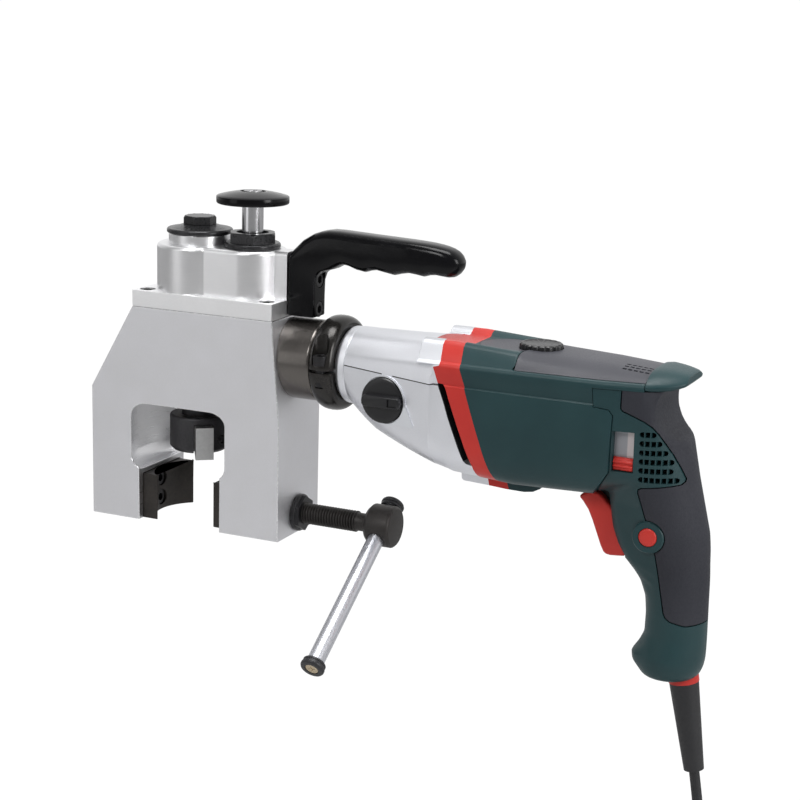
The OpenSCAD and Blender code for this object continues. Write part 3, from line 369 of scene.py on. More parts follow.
class Finish(NodeTree):
    def __init__(self, name):
        self.material = bpy.data.materials.new(name)
        self.material.use_nodes = True
        super().__init__(self.material.node_tree)
        self.shader = self.tree.nodes["Principled BSDF"]
        self.place = self.make("ShaderNodeTexCoord", {}, {}, "Object")

    def noise(self, scale, detail=3, stretch=even):
        spot = self.make("ShaderNodeMapping", {}, {"Vector": self.place, "Scale": stretch})
        return self.make("ShaderNodeTexNoise", {}, {"Vector": spot, "Scale": scale, "Detail": detail})

    def cells(self, scale):
        return self.make("ShaderNodeTexVoronoi", {}, {"Vector": self.place, "Scale": scale})

    def mix(self, factor, a, b):
        return self.make("ShaderNodeMix", {"data_type": "RGBA"}, {0: factor, 6: (*a, 1), 7: (*b, 1)}, 2)

    def bump(self, height, strength, depth):
        sockets = {"Height": height, "Strength": strength, "Distance": depth * mm}
        return self.make("ShaderNodeBump", {}, sockets)

    def shade(self, values):
        self.put(self.shader, values)
        return self.material


def metalFinish(name, light, dark, rough, grain, stretch=even, depth=0.02, metallic=1.0):
    f = Finish(name)
    mottle, marks = f.noise(46, 4), f.noise(grain, 2, stretch)
    tone = (mottle * 0.55 + marks * 0.45).above(0.3, 0.7)
    return f.shade({"Base Color": f.mix(tone, dark, light), "Metallic": metallic,
                    "Roughness": rough[0] + (rough[1] - rough[0]) * marks.above(0.25, 0.75),
                    "Normal": f.bump(marks, 0.35, depth)})


def plasticFinish(name, light, dark, rough, grain, depth=0.05, strength=0.3, specular=0.5):
    f = Finish(name)
    cloud, skin, speck = f.noise(30, 3), f.cells(grain), f.noise(grain * 0.6, 3)
    return f.shade({"Base Color": f.mix(cloud.above(0.3, 0.7), dark, light), "Specular IOR Level": specular,
                    "Roughness": rough[0] + (rough[1] - rough[0]) * speck.above(0.3, 0.7),
                    "Normal": f.bump(skin * 0.6 + speck * 0.4, strength, depth)})


# the plate under the direction slide is greyer towards the front
def plateFinish(name, parting):
    f = Finish(name)
    along = f.make("ShaderNodeSeparateXYZ", {}, {0: f.place})
    grain = f.noise(500, 2, (1, 1, 8))
    tone = along.above((parting - 0.2) * mm, (parting + 0.2) * mm) * 0.85 + grain * 0.15
    return f.shade({"Base Color": f.mix(tone, (0.34, 0.35, 0.38), (0.66, 0.6, 0.6)), "Metallic": 0.3,
                    "Roughness": 0.3 + 0.15 * grain, "Normal": f.bump(grain, 0.3, 0.02)})


# name, light and dark colour, roughness from and to, grain, its stretch, depth of the marks, metallic
metals = {
    "body": ("satinBody", (0.8, 0.8, 0.83), (0.755, 0.755, 0.775), (0.42, 0.52), 900, (1, 1, 0.5)),
    "cover": ("satinCover", (0.95, 0.95, 0.96), (0.9, 0.9, 0.91), (0.4, 0.5), 900, (0.5, 1, 1), 0.015),
    # broken edges: brighter cut metal, its lighter colour partly a painted highlight along the edges
    "edge": ("cutEdgeAndHighlight", (0.9, 0.9, 0.91), (0.8, 0.8, 0.82), (0.22, 0.3), 1200),
    "chamber": ("boredChamber", (0.72, 0.72, 0.73), (0.6, 0.6, 0.62), (0.25, 0.4), 160, (0.3, 0.3, 14), 0.04),
    "turned": ("turnedTower", (0.9, 0.9, 0.91), (0.84, 0.84, 0.855), (0.3, 0.38), 420, (0.2, 0.2, 8), 0.003),
    "cast": ("silverCasting", (0.84, 0.85, 0.89), (0.78, 0.79, 0.83), (0.36, 0.46), 1400, even, 0.03, 0.9),
    "pad": ("paleCasting", (0.84, 0.86, 0.9), (0.8, 0.82, 0.86), (0.4, 0.5), 1400, even, 0.02, 0.85),
    "clip": ("greyClip", (0.66, 0.67, 0.7), (0.61, 0.62, 0.65), (0.42, 0.52), 1400, even, 0.02, 0.85),
    "oxide": ("blackOxide", (0.035, 0.034, 0.036), (0.018, 0.018, 0.02), (0.26, 0.42), 900, even, 0.02, 0.55),
    "oiled": ("oiledAdapter", (0.17, 0.157, 0.147), (0.11, 0.102, 0.095), (0.2, 0.28), 260,
        (16, 0.3, 0.3), 0.006, 0.9),
    "collar": ("oiledCollar", (0.034, 0.031, 0.029), (0.018, 0.017, 0.016), (0.16, 0.26), 600,
        even, 0.02, 0.5),
    "blued": ("bluedSteel", (0.05, 0.05, 0.053), (0.03, 0.03, 0.032), (0.24, 0.36), 700, even, 0.015, 0.6),
    "hub": ("charcoalHub", (0.06, 0.058, 0.062), (0.03, 0.03, 0.033), (0.4, 0.55), 700, even, 0.04, 0.5),
    "jaw": ("brownedJaw", (0.05, 0.043, 0.038), (0.022, 0.02, 0.019), (0.38, 0.55), 500, even, 0.05, 0.5),
    "bright": ("brightSteel", (0.8, 0.8, 0.82), (0.7, 0.7, 0.72), (0.14, 0.26), 140, (0.3, 0.3, 16), 0.015),
    "bar": ("zincBar", (0.66, 0.67, 0.71), (0.62, 0.63, 0.67), (0.34, 0.38), 900, even, 0.001),
    "screw": ("brownedScrew", (0.045, 0.04, 0.038), (0.028, 0.026, 0.025), (0.42, 0.54), 900,
        even, 0.008, 0.5),
    "bit": ("groundToolSteel", (0.52, 0.52, 0.52), (0.4, 0.4, 0.4), (0.3, 0.42), 500, even, 0.03),
    "pin": ("dullZinc", (0.4, 0.4, 0.41), (0.32, 0.32, 0.33), (0.32, 0.42), 600),
    "brass": ("dullBrass", (0.58, 0.49, 0.35), (0.48, 0.4, 0.28), (0.34, 0.46), 500),
    "gear": ("cutGearSteel", (0.5, 0.5, 0.51), (0.4, 0.4, 0.41), (0.25, 0.4), 600),
    "bronze": ("oiledBronze", (0.56, 0.42, 0.22), (0.4, 0.29, 0.14), (0.25, 0.4), 500),
    "winding": ("copperWinding", (0.45, 0.2, 0.09), (0.25, 0.1, 0.05), (0.35, 0.5), 900,
        (0.1, 3, 3), 0.2, 0.8),
}
# name, light and dark colour, roughness from and to, grain, its depth and strength, specular
plastics = {
    "gloss": ("glossBlack", (0.004, 0.004, 0.005), (0.002, 0.002, 0.0025), (0.12, 0.2), 500, 0.03, 0.08, 0.2),
    "knob": ("satinKnob", (0.009, 0.009, 0.011), (0.006, 0.006, 0.007), (0.3, 0.4), 900, 0.02, 0.06),
    "black": ("mattBlack", (0.022, 0.022, 0.025), (0.012, 0.012, 0.014), (0.35, 0.5), 1300),
    "green": ("grainedGreen", (0.0165, 0.05, 0.055), (0.013, 0.041, 0.046), (0.36, 0.46), 1500,
        0.06, 0.35, 0.3),
    "grey": ("grainedGrey", (0.066, 0.067, 0.079), (0.054, 0.055, 0.066), (0.4, 0.5), 1700, 0.06, 0.4, 0.3),
    "red": ("satinRed", (0.6, 0.042, 0.032), (0.52, 0.032, 0.026), (0.3, 0.42), 1300, 0.04, 0.25, 0.3),
    "soft": ("softGrip", (0.032, 0.033, 0.042), (0.024, 0.025, 0.033), (0.6, 0.75), 1100, 0.1, 0.5, 0.3),
    "lead": ("leadRubber", (0.016, 0.016, 0.018), (0.01, 0.01, 0.012), (0.42, 0.6), 900, 0.06, 0.4),
}
finish = {key: metalFinish(*values) for key, values in metals.items()}
finish.update({key: plasticFinish(*values) for key, values in plastics.items()})
finish["plate"] = plateFinish("paleSlidePlate", 308.6)
print("finishes made:", len(finish))


# the mains lead: straight out of its boot, down, then wound on itself and tied, with the plug below
lead = {
    "diameter": 6.5, "lean": 10, "ring": (344.5, 0, -49.5), "ringLength": 5.5, "bootLength": 57, "drop": 46,
    "coilMiddle": (331, 0, -235), "innerRadius": 26.5, "pitch": 7, "layerTurns": 3.75, "layers": 4,
    "bend": [(358.4, -0.3, -128.2), (360.2, -1.1, -138.4), (362, -2.6, -147.6), (363.6, -4.2, -156),
        (362.9, -5.6, -162.8), (360.2, -6.9, -169.1), (356, -8.1, -174.6), (350.6, -9.2, -178.7),
        (344.3, -10.1, -181.4)],
}
leadWay = Vector((sin(radians(lead["lean"])), 0, -cos(radians(lead["lean"]))))
leadStart = Vector(lead["ring"]) + (lead["ringLength"] + lead["bootLength"]) * leadWay
coilSide = lead["pitch"] * (lead["layers"] - 1) / 2
coilOuter = lead["innerRadius"] + lead["layerTurns"] * lead["pitch"]


def coilPoint(t):
    turns, pitch = lead["layerTurns"], lead["pitch"]
    if t > lead["layers"] * turns:
        radius = coilOuter + (t - lead["layers"] * turns) * pitch
    else:
        radius = lead["innerRadius"] + pitch * abs(turns - t % (2 * turns))
    layer = max(1, min(lead["layers"] - 1, round(t / turns)))
    climb = max(0, min(1, 2 * (t - layer * turns) + 0.5))
    angle = radians(90 + 360 * t)
    aside = -coilSide + pitch * (layer - 1 + climb)
    return Vector(lead["coilMiddle"]) + Vector((radius * cos(angle), aside, radius * sin(angle)))


coilEnd = lead["layers"] * lead["layerTurns"] + 0.25
coilEntry = Vector(lead["coilMiddle"]) + Vector((lead["diameter"], -coilSide, coilOuter))
coilLast = coilPoint(coilEnd)


def makeLead():
    route = [leadStart, leadStart + 7 * leadWay, *[Vector(p) for p in lead["bend"]], coilEntry]
    route += [coilPoint(k / 24) for k in range(int(coilEnd * 24) + 1)]
    route += [coilLast - Vector((0, 0, lead["drop"] * k / 4)) for k in range(1, 5)]
    line = bpy.data.curves.new("mainsLead", "CURVE")
    line.dimensions = "3D"
    spline = line.splines.new("POLY")
    spline.points.add(len(route) - 1)
    for point, place in zip(spline.points, route):
        point.co = (*(place * mm), 1)
    line.bevel_depth = lead["diameter"] / 2 * mm
    line.bevel_resolution = 5
    line.use_fill_caps = True
    cord = linked("mainsLead", line)
    line.materials.append(finish["lead"])
    length = sum((b - a).length for a, b in zip(route, route[1:]))
    print("lead length in mm:", round(length))
    return standFor(cord, "mains_cord", "cord_coil"), length


leadCord, leadLength = makeLead()
round(leadLength * mm, 3)
print("lead laid")


# machined pieces: copies of the CAD solids with broken edges: name, edge width in millimetres and finish
softened = {
    "fixed_jaw": ("fixedJaw", 0.5, "jaw"), "moving_jaw": ("movingJaw", 0.5, "jaw"),
    "socket_screws": ("socketScrews", 0.3, "oxide"), "cutter_head": ("cutterHub", 0.5, "hub"),
    "tool_bits": ("toolBits", 0.25, "bit"), "tool_screws": ("toolScrews", 0.2, "oxide"),
    "feed_washer": ("feedWasher", 0.35, "blued"), "feed_bolt": ("feedBolt", 0.4, "blued"),
    "gland_nut": ("glandNut", 0.4, "blued"), "plunger_rod": ("plungerRod", 0.3, "bright"),
    "knob_screw": ("knobScrew", 0.2, "pin"), "screw_bush": ("screwBush", 0.4, "oxide"),
    "bar_cap_screws": ("capScrews", 0.12, "brass"), "drive_adapter": ("driveAdapter", 0.8, "oiled"),
}
# faces moved a little on such a copy: axis, from, to, how far
nudged = {"cutter_head": ((2, 62, 66, 4), (2, 68, 71, 2.5)), "tool_bits": ((2, 62, 66, 4),),
          "screw_bush": ((0, 80, 90, -3.2),)}


def softCopy(node, name, width, *keys):  # the second finish goes on the broken edges
    piece = copyNode(node, name)
    for v in piece.data.vertices:
        moves = [(axis, by) for axis, low, high, by in nudged.get(node, ()) if low < v.co[axis] / mm < high]
        for axis, by in moves:
            v.co[axis] += by * mm
    dress(piece, *keys)
    bevel(piece, width, material=1 if len(keys) > 1 else -1)
    flatten(piece)
    return standFor(piece, node)


for node, values in softened.items():
    softCopy(node, *values)
print("softened pieces:", len(softened))


# clamp body: broken edges in a brighter, glossier finish whose lighter colour is partly a painted highlight,
# and a bored finish inside the slot and the chamber
clampBody = {"edge": 0.55, "half": 29, "slot": (-46, 46, 81.2)}


def makeClampBody():
    b = clampBody
    left, right, top = b["slot"]
    piece = softCopy("main_body", "clampBody", b["edge"], "body", "edge", "chamber")
    paintFaces(piece, 2, lambda c, n: abs(c.y) < b["half"] - 0.6 and left - 0.5 < c.x < right + 0.5
               and c.z < top and abs(n.y) < 0.99)


makeClampBody()


# cover plate with screw pockets, and the tower whose top edge is rounded over
cover = {"left": -34.5, "right": 70, "half": 29, "low": 146.5, "top": 157.5, "edge": 0.5, "bore": 3.05,
         "screws": ((-27, 62.5), (-21.5, 21.5)), "pocket": (5.3, 151), "handleScrews": (152, 171.5)}
tower = {"top": 188.5, "round": 2.8, "large": 28.2, "small": 23, "plunger": 39.7, "rib": 9, "collar": 20.5,
         "collarTop": 194.7,
         "rooms": ((0, 26.15, 171), (0, 16.95, 196), (39.7, 19.65, 181), (39.7, 12.05, 190))}


def arc(x, radius, start, end, count):
    turns = [radians(start + (end - start) * k / count) for k in range(count + 1)]
    return [(x + radius * cos(t), radius * sin(t)) for t in turns]


def towerRing(z, inset):
    t = tower
    large, small, rib = (t[k] - inset for k in ("large", "small", "rib"))
    meet = degrees(asin(small / large))
    corner = degrees(asin(rib / small))
    outline = arc(0, large, meet, 360 - meet, 60) + arc(t["plunger"], small, -90, -corner, 20)
    outline += [(cover["right"], -rib), (cover["right"], rib)] + arc(t["plunger"], small, corner, 90, 20)
    return [(x, y, z) for x, y in outline]


def towerForm():
    t = tower
    start = t["top"] - t["round"]
    rings = [towerRing(cover["low"] + 2, 0)]
    for step in range(7):
        turn = radians(15 * step)
        rings.append(towerRing(start + t["round"] * sin(turn), t["round"] * (1 - cos(turn))))
    return ringLoft("towerForm", rings)


def makeCover():
    c, t = cover, tower
    low, bore = c["low"], c["bore"]
    outline = [(c["left"], low), (c["right"], low), (c["right"], c["top"]), (c["left"], c["top"])]
    piece = roundEdges(sidePrism("towerCover", outline, -c["half"], c["half"]), c["edge"])
    addTo(piece, towerForm())
    high, wide = t["collarTop"] - low, t["collar"]
    rim = [(3, wide), (high - 0.5, wide), (high - 0.15, wide - 0.15), (high, wide - 0.5)]
    addTo(piece, turned("collar", (0, 0, low), (0, 0, 1), rim, 96))
    for x, radius, top in t["rooms"]:
        cutWith(piece, zRod("room", low - 1, top, radius, x))
    pocket, floor = c["pocket"]
    steps = [(-1, bore), (floor - low, bore), (floor - low, pocket), (14, pocket)]
    for x, y in [(x, y) for x in c["screws"][0] for y in c["screws"][1]]:
        cutWith(piece, turned("pocket", (x, y, low), (0, 0, 1), steps, 40))
    for z in c["handleScrews"]:
        cutWith(piece, xRod("hole", c["right"] - 8, c["right"] + 1, bore, z, sides=32))
    flatten(piece)
    finishPiece(piece, "gear_cover", "cover", "turned")
    paintFaces(piece, 1, lambda c, n: c.z > cover["top"] + 0.05)


makeCover()


# plunger knob, turned as one flattened dome with a recess for its screw
knob = {"place": (39.7, 0, 217), "rim": 23.75, "rimHigh": 5, "dome": 3.6, "hollow": 8.2}


def knobProfile():
    rim, flat, hollow = knob["rim"], knob["rimHigh"], knob["hollow"]
    bow = (rim ** 2 + knob["dome"] ** 2) / (2 * knob["dome"])
    top = flat + knob["dome"]
    skirt = [(0, 7.2), (0, rim - 1.2), (0.25, rim - 0.5), (0.8, rim - 0.08), (1.2, rim), (flat - 0.5, rim),
             (flat - 0.15, rim - 0.1), (flat, rim - 0.4)]
    radii = (rim - 0.7, 21, 18, 15, 12, 10, hollow + 0.5)
    dome = [(top - bow + sqrt(bow ** 2 - r ** 2), r) for r in radii]
    edge = dome[-1][0]
    return skirt + dome + [(edge - 0.2, hollow + 0.1), (edge - 0.5, hollow), (7.45, hollow - 0.2), (7.4, 6.3)]


finishPiece(turned("plungerKnob", knob["place"], (0, 0, 1), knobProfile(), 96), "plunger_knob", "gloss")


# clamp screw with a cut thread between its plain end and its drilled head
thread = {"start": 56.4, "end": 120.4, "pitch": 2, "root": 5.95, "crest": 7, "height": 13.5, "head": 119.5}


def makeClampScrew():
    t = thread
    head = copyNode("clamp_screw", "clampScrew")
    editMesh(head)
    pickAll()
    bpy.ops.mesh.bisect(plane_co=(t["head"] * mm, 0, 0), plane_no=(1, 0, 0), clear_inner=True, use_fill=True)
    leaveEdit()
    bevel(head, 0.5)
    core, foot = t["root"] - 0.1, t["root"] - 0.4
    steps = [(48, 4.6), (48.5, 5), (57, 5), (57, core), (120, core)]
    shank = turned("shank", (0, 0, t["height"]), (1, 0, 0), steps, 48)
    shape = [(0, foot), (0.78, t["crest"]), (1.06, t["crest"]), (1.84, foot)]
    ridge = ringLoft("ridge", [[(t["start"] + along, 0, radius) for along, radius in shape]], True, False)
    turns = int((t["end"] - t["start"]) / t["pitch"]) - 1
    useModifier(ridge, "SCREW", axis="X", screw_offset=t["pitch"] * mm, iterations=turns, steps=36,
                render_steps=36, use_smooth_shade=False)
    ridge.location = (0, 0, t["height"] * mm)
    fixNormals(settle(ridge), 0.000001)
    smoothBy(joinPieces(head, shank, ridge), 32)
    finishPiece(head, "clamp_screw", "screw")


makeClampScrew()


# ringed caps at both ends of the bar, each with a seat for its screw
barCaps = {
    "place": (138.5, 0, 13.5), "drop": 33.5, "ends": (113.45, -14.05),
    "profile": [(0, 5.6), (0, 7.0), (0.5, 7.5), (1.5, 7.5), (1.8, 7.1), (2.3, 7.1), (2.6, 7.6), (3.1, 7.85),
        (4.3, 7.85), (5.1, 7.4), (5.5, 6.6), (5.5, 4.5), (4.2, 4.3), (4.0, 4.2)],
}
barWay = Vector((0, -cos(radians(barCaps["drop"])), -sin(radians(barCaps["drop"]))))


def makeBarCaps():
    made = []
    for reach, way in zip(barCaps["ends"], (1, -1)):
        origin = Vector(barCaps["place"]) + reach * barWay
        made.append(turned("barCap", origin, barWay * way, barCaps["profile"], 48))
    caps = joinPieces(*made)
    caps.name = "barCaps"
    finishPiece(caps, "bar_caps", "black", slot="black_steel")


# sliding bar: radius, and the steps of its rounded ends
tommyBar = {"radius": 5.5, "steps": [(0, 0.4), (0.12, 0.12), (0.4, 0), (0.8, 0)]}


def makeTommyBar():
    outer, inner = barCaps["ends"]
    first = [(inner + along, tommyBar["radius"] - inset) for along, inset in tommyBar["steps"]]
    last = [(outer - along, tommyBar["radius"] - inset) for along, inset in reversed(tommyBar["steps"])]
    piece = turned("tommyBar", barCaps["place"], barWay, first + last, 96)
    finishPiece(piece, "tommy_bar", "bar")


makeBarCaps()
makeTommyBar()
print("machine head made")


# drill housing: one skin drawn through cross sections, then parted at the joints that show
ledge = [(33.3, 134.9), (34.6, 134.4), (35.6, 133.3), (36.1, 131.6), (35.6, 127)]
drill = {
    "axis": 118.7, "swell": 1.1,
    # half sections from the top middle down to the side crease: distance to the side and height
    "gearboxEnd": [(0, 143.4), (5, 143.4), (10, 143.35), (14, 143.2), (16.6, 142.8), (18.6, 142),
        (20.8, 140.9), (23.6, 139.4), (28.4, 136.6), (31.8, 134.4), (33.8, 133), (34.9, 131.5),
        (35.6, 129.4), (36.3, 125), (36.95, 120.6), (36.8, 119.9)],
    "shoulder": [(0, 143.2), (8, 143.2), (14.5, 143.2), (16.6, 143.5), (18.8, 145.1), (21.8, 146.6),
        (25, 146.4), (28, 144.2), (31.7, 138), *ledge, (34.8, 120.9), (35.9, 120.1)],
    "shoulderEnd": [(0, 143), (8, 143), (14.5, 143), (17.4, 143.3), (20.5, 143.9), (24, 144.1),
        (26.3, 143.5), (28.4, 141.8), (31.7, 137.4), *ledge, (34.8, 120.7), (35.9, 119.9)],
    "motorTop": [(0, 144.4), (8, 144.3), (14.5, 144), (17.4, 143.6), (20.5, 143), (24, 142), (26.3, 141.1),
        (28.6, 139.8), (31.6, 137), *ledge, (34.8, 120.7), (35.9, 119.9)],
    "motorRear": [(0, 142), (7, 141.9), (12.5, 141.6), (17, 141), (21.2, 139.9), (24.6, 138.6),
        (27.4, 137.2), (29.6, 135.8), (31.2, 134.9), (31.8, 134.8), (33, 134.3), (34, 133.2), (34.5, 131.6),
        (34.1, 127), (33.5, 120.3), (34.5, 119.5)],
    "deckEnd": [(0, 139.6), (6, 139.6), (11, 139.4), (15, 139), (18.6, 138.3), (21.6, 137.4), (24.2, 136.4),
        (26, 135.5), (27, 134.9), (27.6, 134.7), (28.6, 134.3), (29.5, 133.2), (30.1, 131.6), (30, 127),
        (29.6, 119.6), (30.3, 118.8)],
}
noseAngles = [90, 80, 71, 63, 55, 48, 41, 35, 29.5, 26.5, 25.2, 23.5, 20.5, 15.5, 10.6, 9]


def noseHalf(radius):
    turns = [radians(a) for a in noseAngles]
    return [(radius * cos(a), drill["axis"] + radius * sin(a)) for a in turns]


# one closed section: its upper half as given, then a belly that grows squarer with the power
def fullRing(x, half, middle, bottom, power):
    side = list(half)
    wide, high = half[-1]
    belly = max(wide, half[0][1] - drill["axis"] if power == 2 else wide) + (drill["swell"] if x > 195 else 0)
    bends = ((0.6, 0.3), (0.92, 0.65), (1, 1))
    side += [(wide + (belly - wide) * out, high + (middle - high) * down) for out, down in bends]
    for k in range(1, 11):
        turn = radians(9 * k)
        across = abs(cos(turn)) ** (2 / power) if k < 10 else 0
        side.append((belly * across, middle - (middle - bottom) * sin(turn) ** (2 / power)))
    return [(x, y, z) for y, z in side] + [(x, -y, z) for y, z in reversed(side[1:-1])]


def between(a, b, share):
    return [tuple(p + (q - p) * share for p, q in zip(u, v)) for u, v in zip(a, b)]


def drillRings():
    d = drill
    noseX, noseR, endX, rings = 120.3, 25.3, 184, []
    for x, radius in ((119.9, 24.7), (noseX, noseR)):
        rings.append(fullRing(x, noseHalf(radius), d["axis"], d["axis"] - radius, 2))
    stations = ((127, 114, 88, 2.15), (134, 110.5, 83.2, 2.4), (141, 108, 79.4, 2.7), (149, 106, 76.4, 2.9),
        (157, 104.2, 73.6, 3.1), (165, 102.6, 71, 3.3), (176, 100.6, 67.6, 3.5), (endX, 99.4, 65.3, 3.6))
    for x, middle, bottom, power in stations:
        half = between(noseHalf(noseR), d["gearboxEnd"], (x - noseX) / (endX - noseX))
        rings.append(fullRing(x, half, middle, bottom, power))
    rings += [fullRing(186, d["shoulder"], 99.1, 64.8, 3.6), fullRing(193, d["shoulder"], 97.6, 63, 3.6)]
    start = fullRing(197, d["shoulder"], 97, 62.2, 3.7)
    shoulderEnd = fullRing(236.5, d["shoulderEnd"], 94, 59.3, 3.7)
    rings += [start, between(start, shoulderEnd, 0.35), between(start, shoulderEnd, 0.7), shoulderEnd]
    front = fullRing(240, d["motorTop"], 94, 59.3, 3.7)
    rear = fullRing(290, d["motorRear"], 94, 60.2, 3.4)
    rings += [between(front, rear, k / 4) for k in range(5)]
    rings += [fullRing(318, d["deckEnd"], 98, 67.4, 2.3)]
    return rings


# joints that two regions share: before and behind the band, and the foot of the front one
frontJoint = [(186.5, 170), (190, 132.7), (186, 131.5), (189, 121.5)]
frontFoot = [(213.2, 72), (215.3, 62), (218, 50), (218, 30)]
rearJoint = [(200.5, 170), (203.5, 132), (207.3, 119), (227.4, 62), (230.6, 53), (231, 30)]
regions = {
    "gearbox": [(60, 30), (60, 170), *frontJoint, (207.6, 74.5), (209.6, 72.6), *frontFoot],
    "band": [*frontJoint, (192.5, 121.2), (194.4, 119.4), *frontFoot, *reversed(rearJoint)],
    "motor": [*rearJoint, (283, 30), (283, 57), (291.4, 67.3), (299.3, 79.2), (300.4, 114), (298, 117.2),
        (288.5, 118.4), (287.5, 129.9), (318.1, 129.9), (318.1, 170)],
    "foot": [(197.6, 70), (198.2, 57.2), (199.6, 55.9), (215, 55.2), (228, 54.3), (240, 54.1), (246, 55),
        (250.5, 57.4), (253, 60.5), (253, 70)],
    "triggerRoom": [(264, 62), (293, 62), (311, 50), (315, 20.2), (285, 20.2), (264, 50)], "partGap": 0.6,
    # the band's front between the clip pads: station, half width, corner and underside
    "bandFront": (175.2, 14.7, 6, 141.4),
}
selector = {"x": 150.9, "z": 105.2, "plate": 16.2, "corner": [(171.6, 90.9), (172.8, 91.4), (172.9, 92.4)]}
skin = ringLoft("drillSkin", drillRings())
addTo(skin, sidePrism("foot", regions["foot"], -13, 13))
motorRoom = turned("motorRoom", (195, 0, 94), (1, 0, 0), [(0, 27.3), (15, 33.3), (94, 33.3)])


def swell(piece, by):
    return useModifier(piece, "DISPLACE", strength=by * mm, mid_level=0)


def partOf(key):
    return sidePrism("part", regions[key])


gearbox = {
    "clipPad": ((174.8, -60, 132.8), (192, -15, 160)), "clipProud": 0.3, "plateProud": 0.8,
    # where the clip finish goes: from, to, and distance to the side
    "clipPaint": (147.6, 190.2, 14.6),
    "seam": ((117, 123.4), (190, 120.3)), "seamWide": 0.8, "seamDeep": 1.2,
    # from, to, radius, height and side
    "bores": ((110, 134, 14, 118.7), (133, 149, 13.05, 118.7), (148, 190, 21.6, 118.7),
              (148, 190, 13.6, 97.878, 15.524), (175, 190, 8, 94)),
    "selectorBore": (-60, -28.6, 15.1, 150.9, 105.2), "noseStart": 113.1,
    "nose": [(-8.2, 14), (-8.2, 21.3), (-8, 21.5), (0, 21.5), (0, 22.4), (0.4, 23.2), (1.3, 24.4),
        (2.2, 24.9), (3, 25.05), (6.2, 25.05), (6.6, 24.7), (7.2, 24.6), (7.2, 14)],
}


def makeGearbox():
    g = gearbox
    piece = copyPiece(skin, "gearboxHousing")
    keepIn(piece, partOf("gearbox"))
    # a raised clip pad on each shoulder, and a pointed plate behind the selector
    rounded = arc(selector["x"], selector["plate"], 0, 300, 40)
    plate = [(x, selector["z"] + z) for x, z in rounded] + selector["corner"]
    (x0, y0, z0), (x1, y1, z1) = g["clipPad"]
    hump = [fullRing(x, drill["shoulder"], 97.6, 63, 3.6) for x in (x0, x1)]
    raised = [(ringLoft("clipPad", hump), block("padRoom", (x0, a, z0), (x1, b, z1)), g["clipProud"])
              for a, b in ((y0, y1), (-y1, -y0))]
    raised.append((copyPiece(skin, "selectorPlate"), sidePrism("plateRoom", plate, -60, 0), g["plateProud"]))
    for pad, room, proud in raised:
        swell(fixNormals(pad), proud)
        keepIn(pad, fixNormals(room))
        keepIn(pad, partOf("gearbox"))
        addTo(piece, roundEdges(pad, 0.3))
    # the parting seam along both sides
    (x0, z0), (x1, z1) = g["seam"]
    half = g["seamWide"] / 2
    outline = [(x0, z0 + half), (x1, z1 + half), (x1, z1 - half), (x0, z0 - half)]
    for side in (-1, 1):
        seam = fixNormals(sidePrism("seam", outline, side * 60, side * 20))
        cutWith(seam, swell(copyPiece(skin, "inner"), -g["seamDeep"]))
        cutWith(piece, seam)
    cutWith(piece, bandFront(0.15))
    nose = turned("nose", (g["noseStart"], 0, drill["axis"]), (1, 0, 0), g["nose"], 96, True)
    for bore in g["bores"]:
        cutWith(piece, xRod("bore", *bore))
    cutWith(piece, copyPiece(motorRoom, "room"), yRod("bore", *g["selectorBore"]))
    flatten(joinPieces(piece, nose))
    finishPiece(piece, "gearbox_housing", "cast", "black", "pad", "clip")
    start, end, aside = g["clipPaint"]
    slope = (z1 - z0) / (x1 - x0)
    paintFaces(piece, 1, lambda c, n: n.x > 0.8 and 75 < c.z < 121.6 and c.x > 186)
    paintFaces(piece, 1, lambda c, n: 118 < c.x < 189 and abs(c.z - z0 - slope * (c.x - x0)) < 0.42)
    paintFaces(piece, 2, lambda c, n: c.y < -24 and n.y < -0.5 and onPlate(c.x, c.z))
    # only above the line of the facet that falls to the side
    paintFaces(piece, 3, lambda c, n: start < c.x < end and abs(c.y) > aside
               and c.z > 142.7 - (abs(c.y) - 18.6) * 0.576)


def onPlate(x, z):
    across, up = x - selector["x"], z - selector["z"]
    corner = 8 < across < 22 and -14.4 < up < 0 and up < (22 - across) * 2.4 - 14.4
    return across ** 2 + up ** 2 < selector["plate"] ** 2 or corner


def bandFront(more):
    front, half, corner, low = regions["bandFront"]
    middle, side = front + corner, half - corner
    outline = [(x, y + side) for x, y in arc(middle, corner + more, 90, 180, 8)]
    outline += [(x, y - side) for x, y in arc(middle, corner + more, 180, 270, 8)]
    outline += [(192, -half - more), (192, half + more)]
    return fixNormals(ringLoft("bandFront", [[(x, y, z) for x, y in outline] for z in (low, 172)]))


# the front of the top cover is a tongue with a round end
def tongueRoom(front, half):
    room = block("tongue", (front + half, -half, 139), (239, half, 170))
    end = zRod("tongueEnd", 139, 170, half, front + half, sides=96)
    return addTo(fixNormals(room), fixNormals(end))


def makeBand():
    piece = copyPiece(skin, "trimBand")
    room = fixNormals(partOf("band"))
    addTo(room, bandFront(0))
    keepIn(piece, room)
    cutWith(piece, copyPiece(motorRoom, "room"), tongueRoom(203, 17.2))
    flatten(piece)
    finishPiece(piece, "trim_band", "red", "black")
    paintFaces(piece, 1, lambda c, n: n.x < -0.8 and 75 < c.z < 119.2)


def triggerRoom():
    return sidePrism("triggerRoom", regions["triggerRoom"], -9.7, 9.7)


def makeMotor():
    piece = copyPiece(skin, "motorHousing")
    keepIn(piece, partOf("motor"))
    cutWith(piece, copyPiece(motorRoom, "room"), tongueRoom(203, 17.2))
    cutWith(piece, block("deck", (237.6, -far, 134.5), (330, far, 170)), triggerRoom())
    flatten(piece)
    finishPiece(piece, "motor_housing", "green")


# top cover: dial seat, a small square hollow on the tongue and three rows of slots at the rear
deck = {"seat": (139.2, 151.2, 13.9, 242.6), "hollow": ((212, -5, 143.4), (219, 3.4, 150)),
        "slots": (5, 3), "slotStart": (300.2, -17), "slotPitch": (3.5, 4.5), "slot": (2.6, 0.9)}


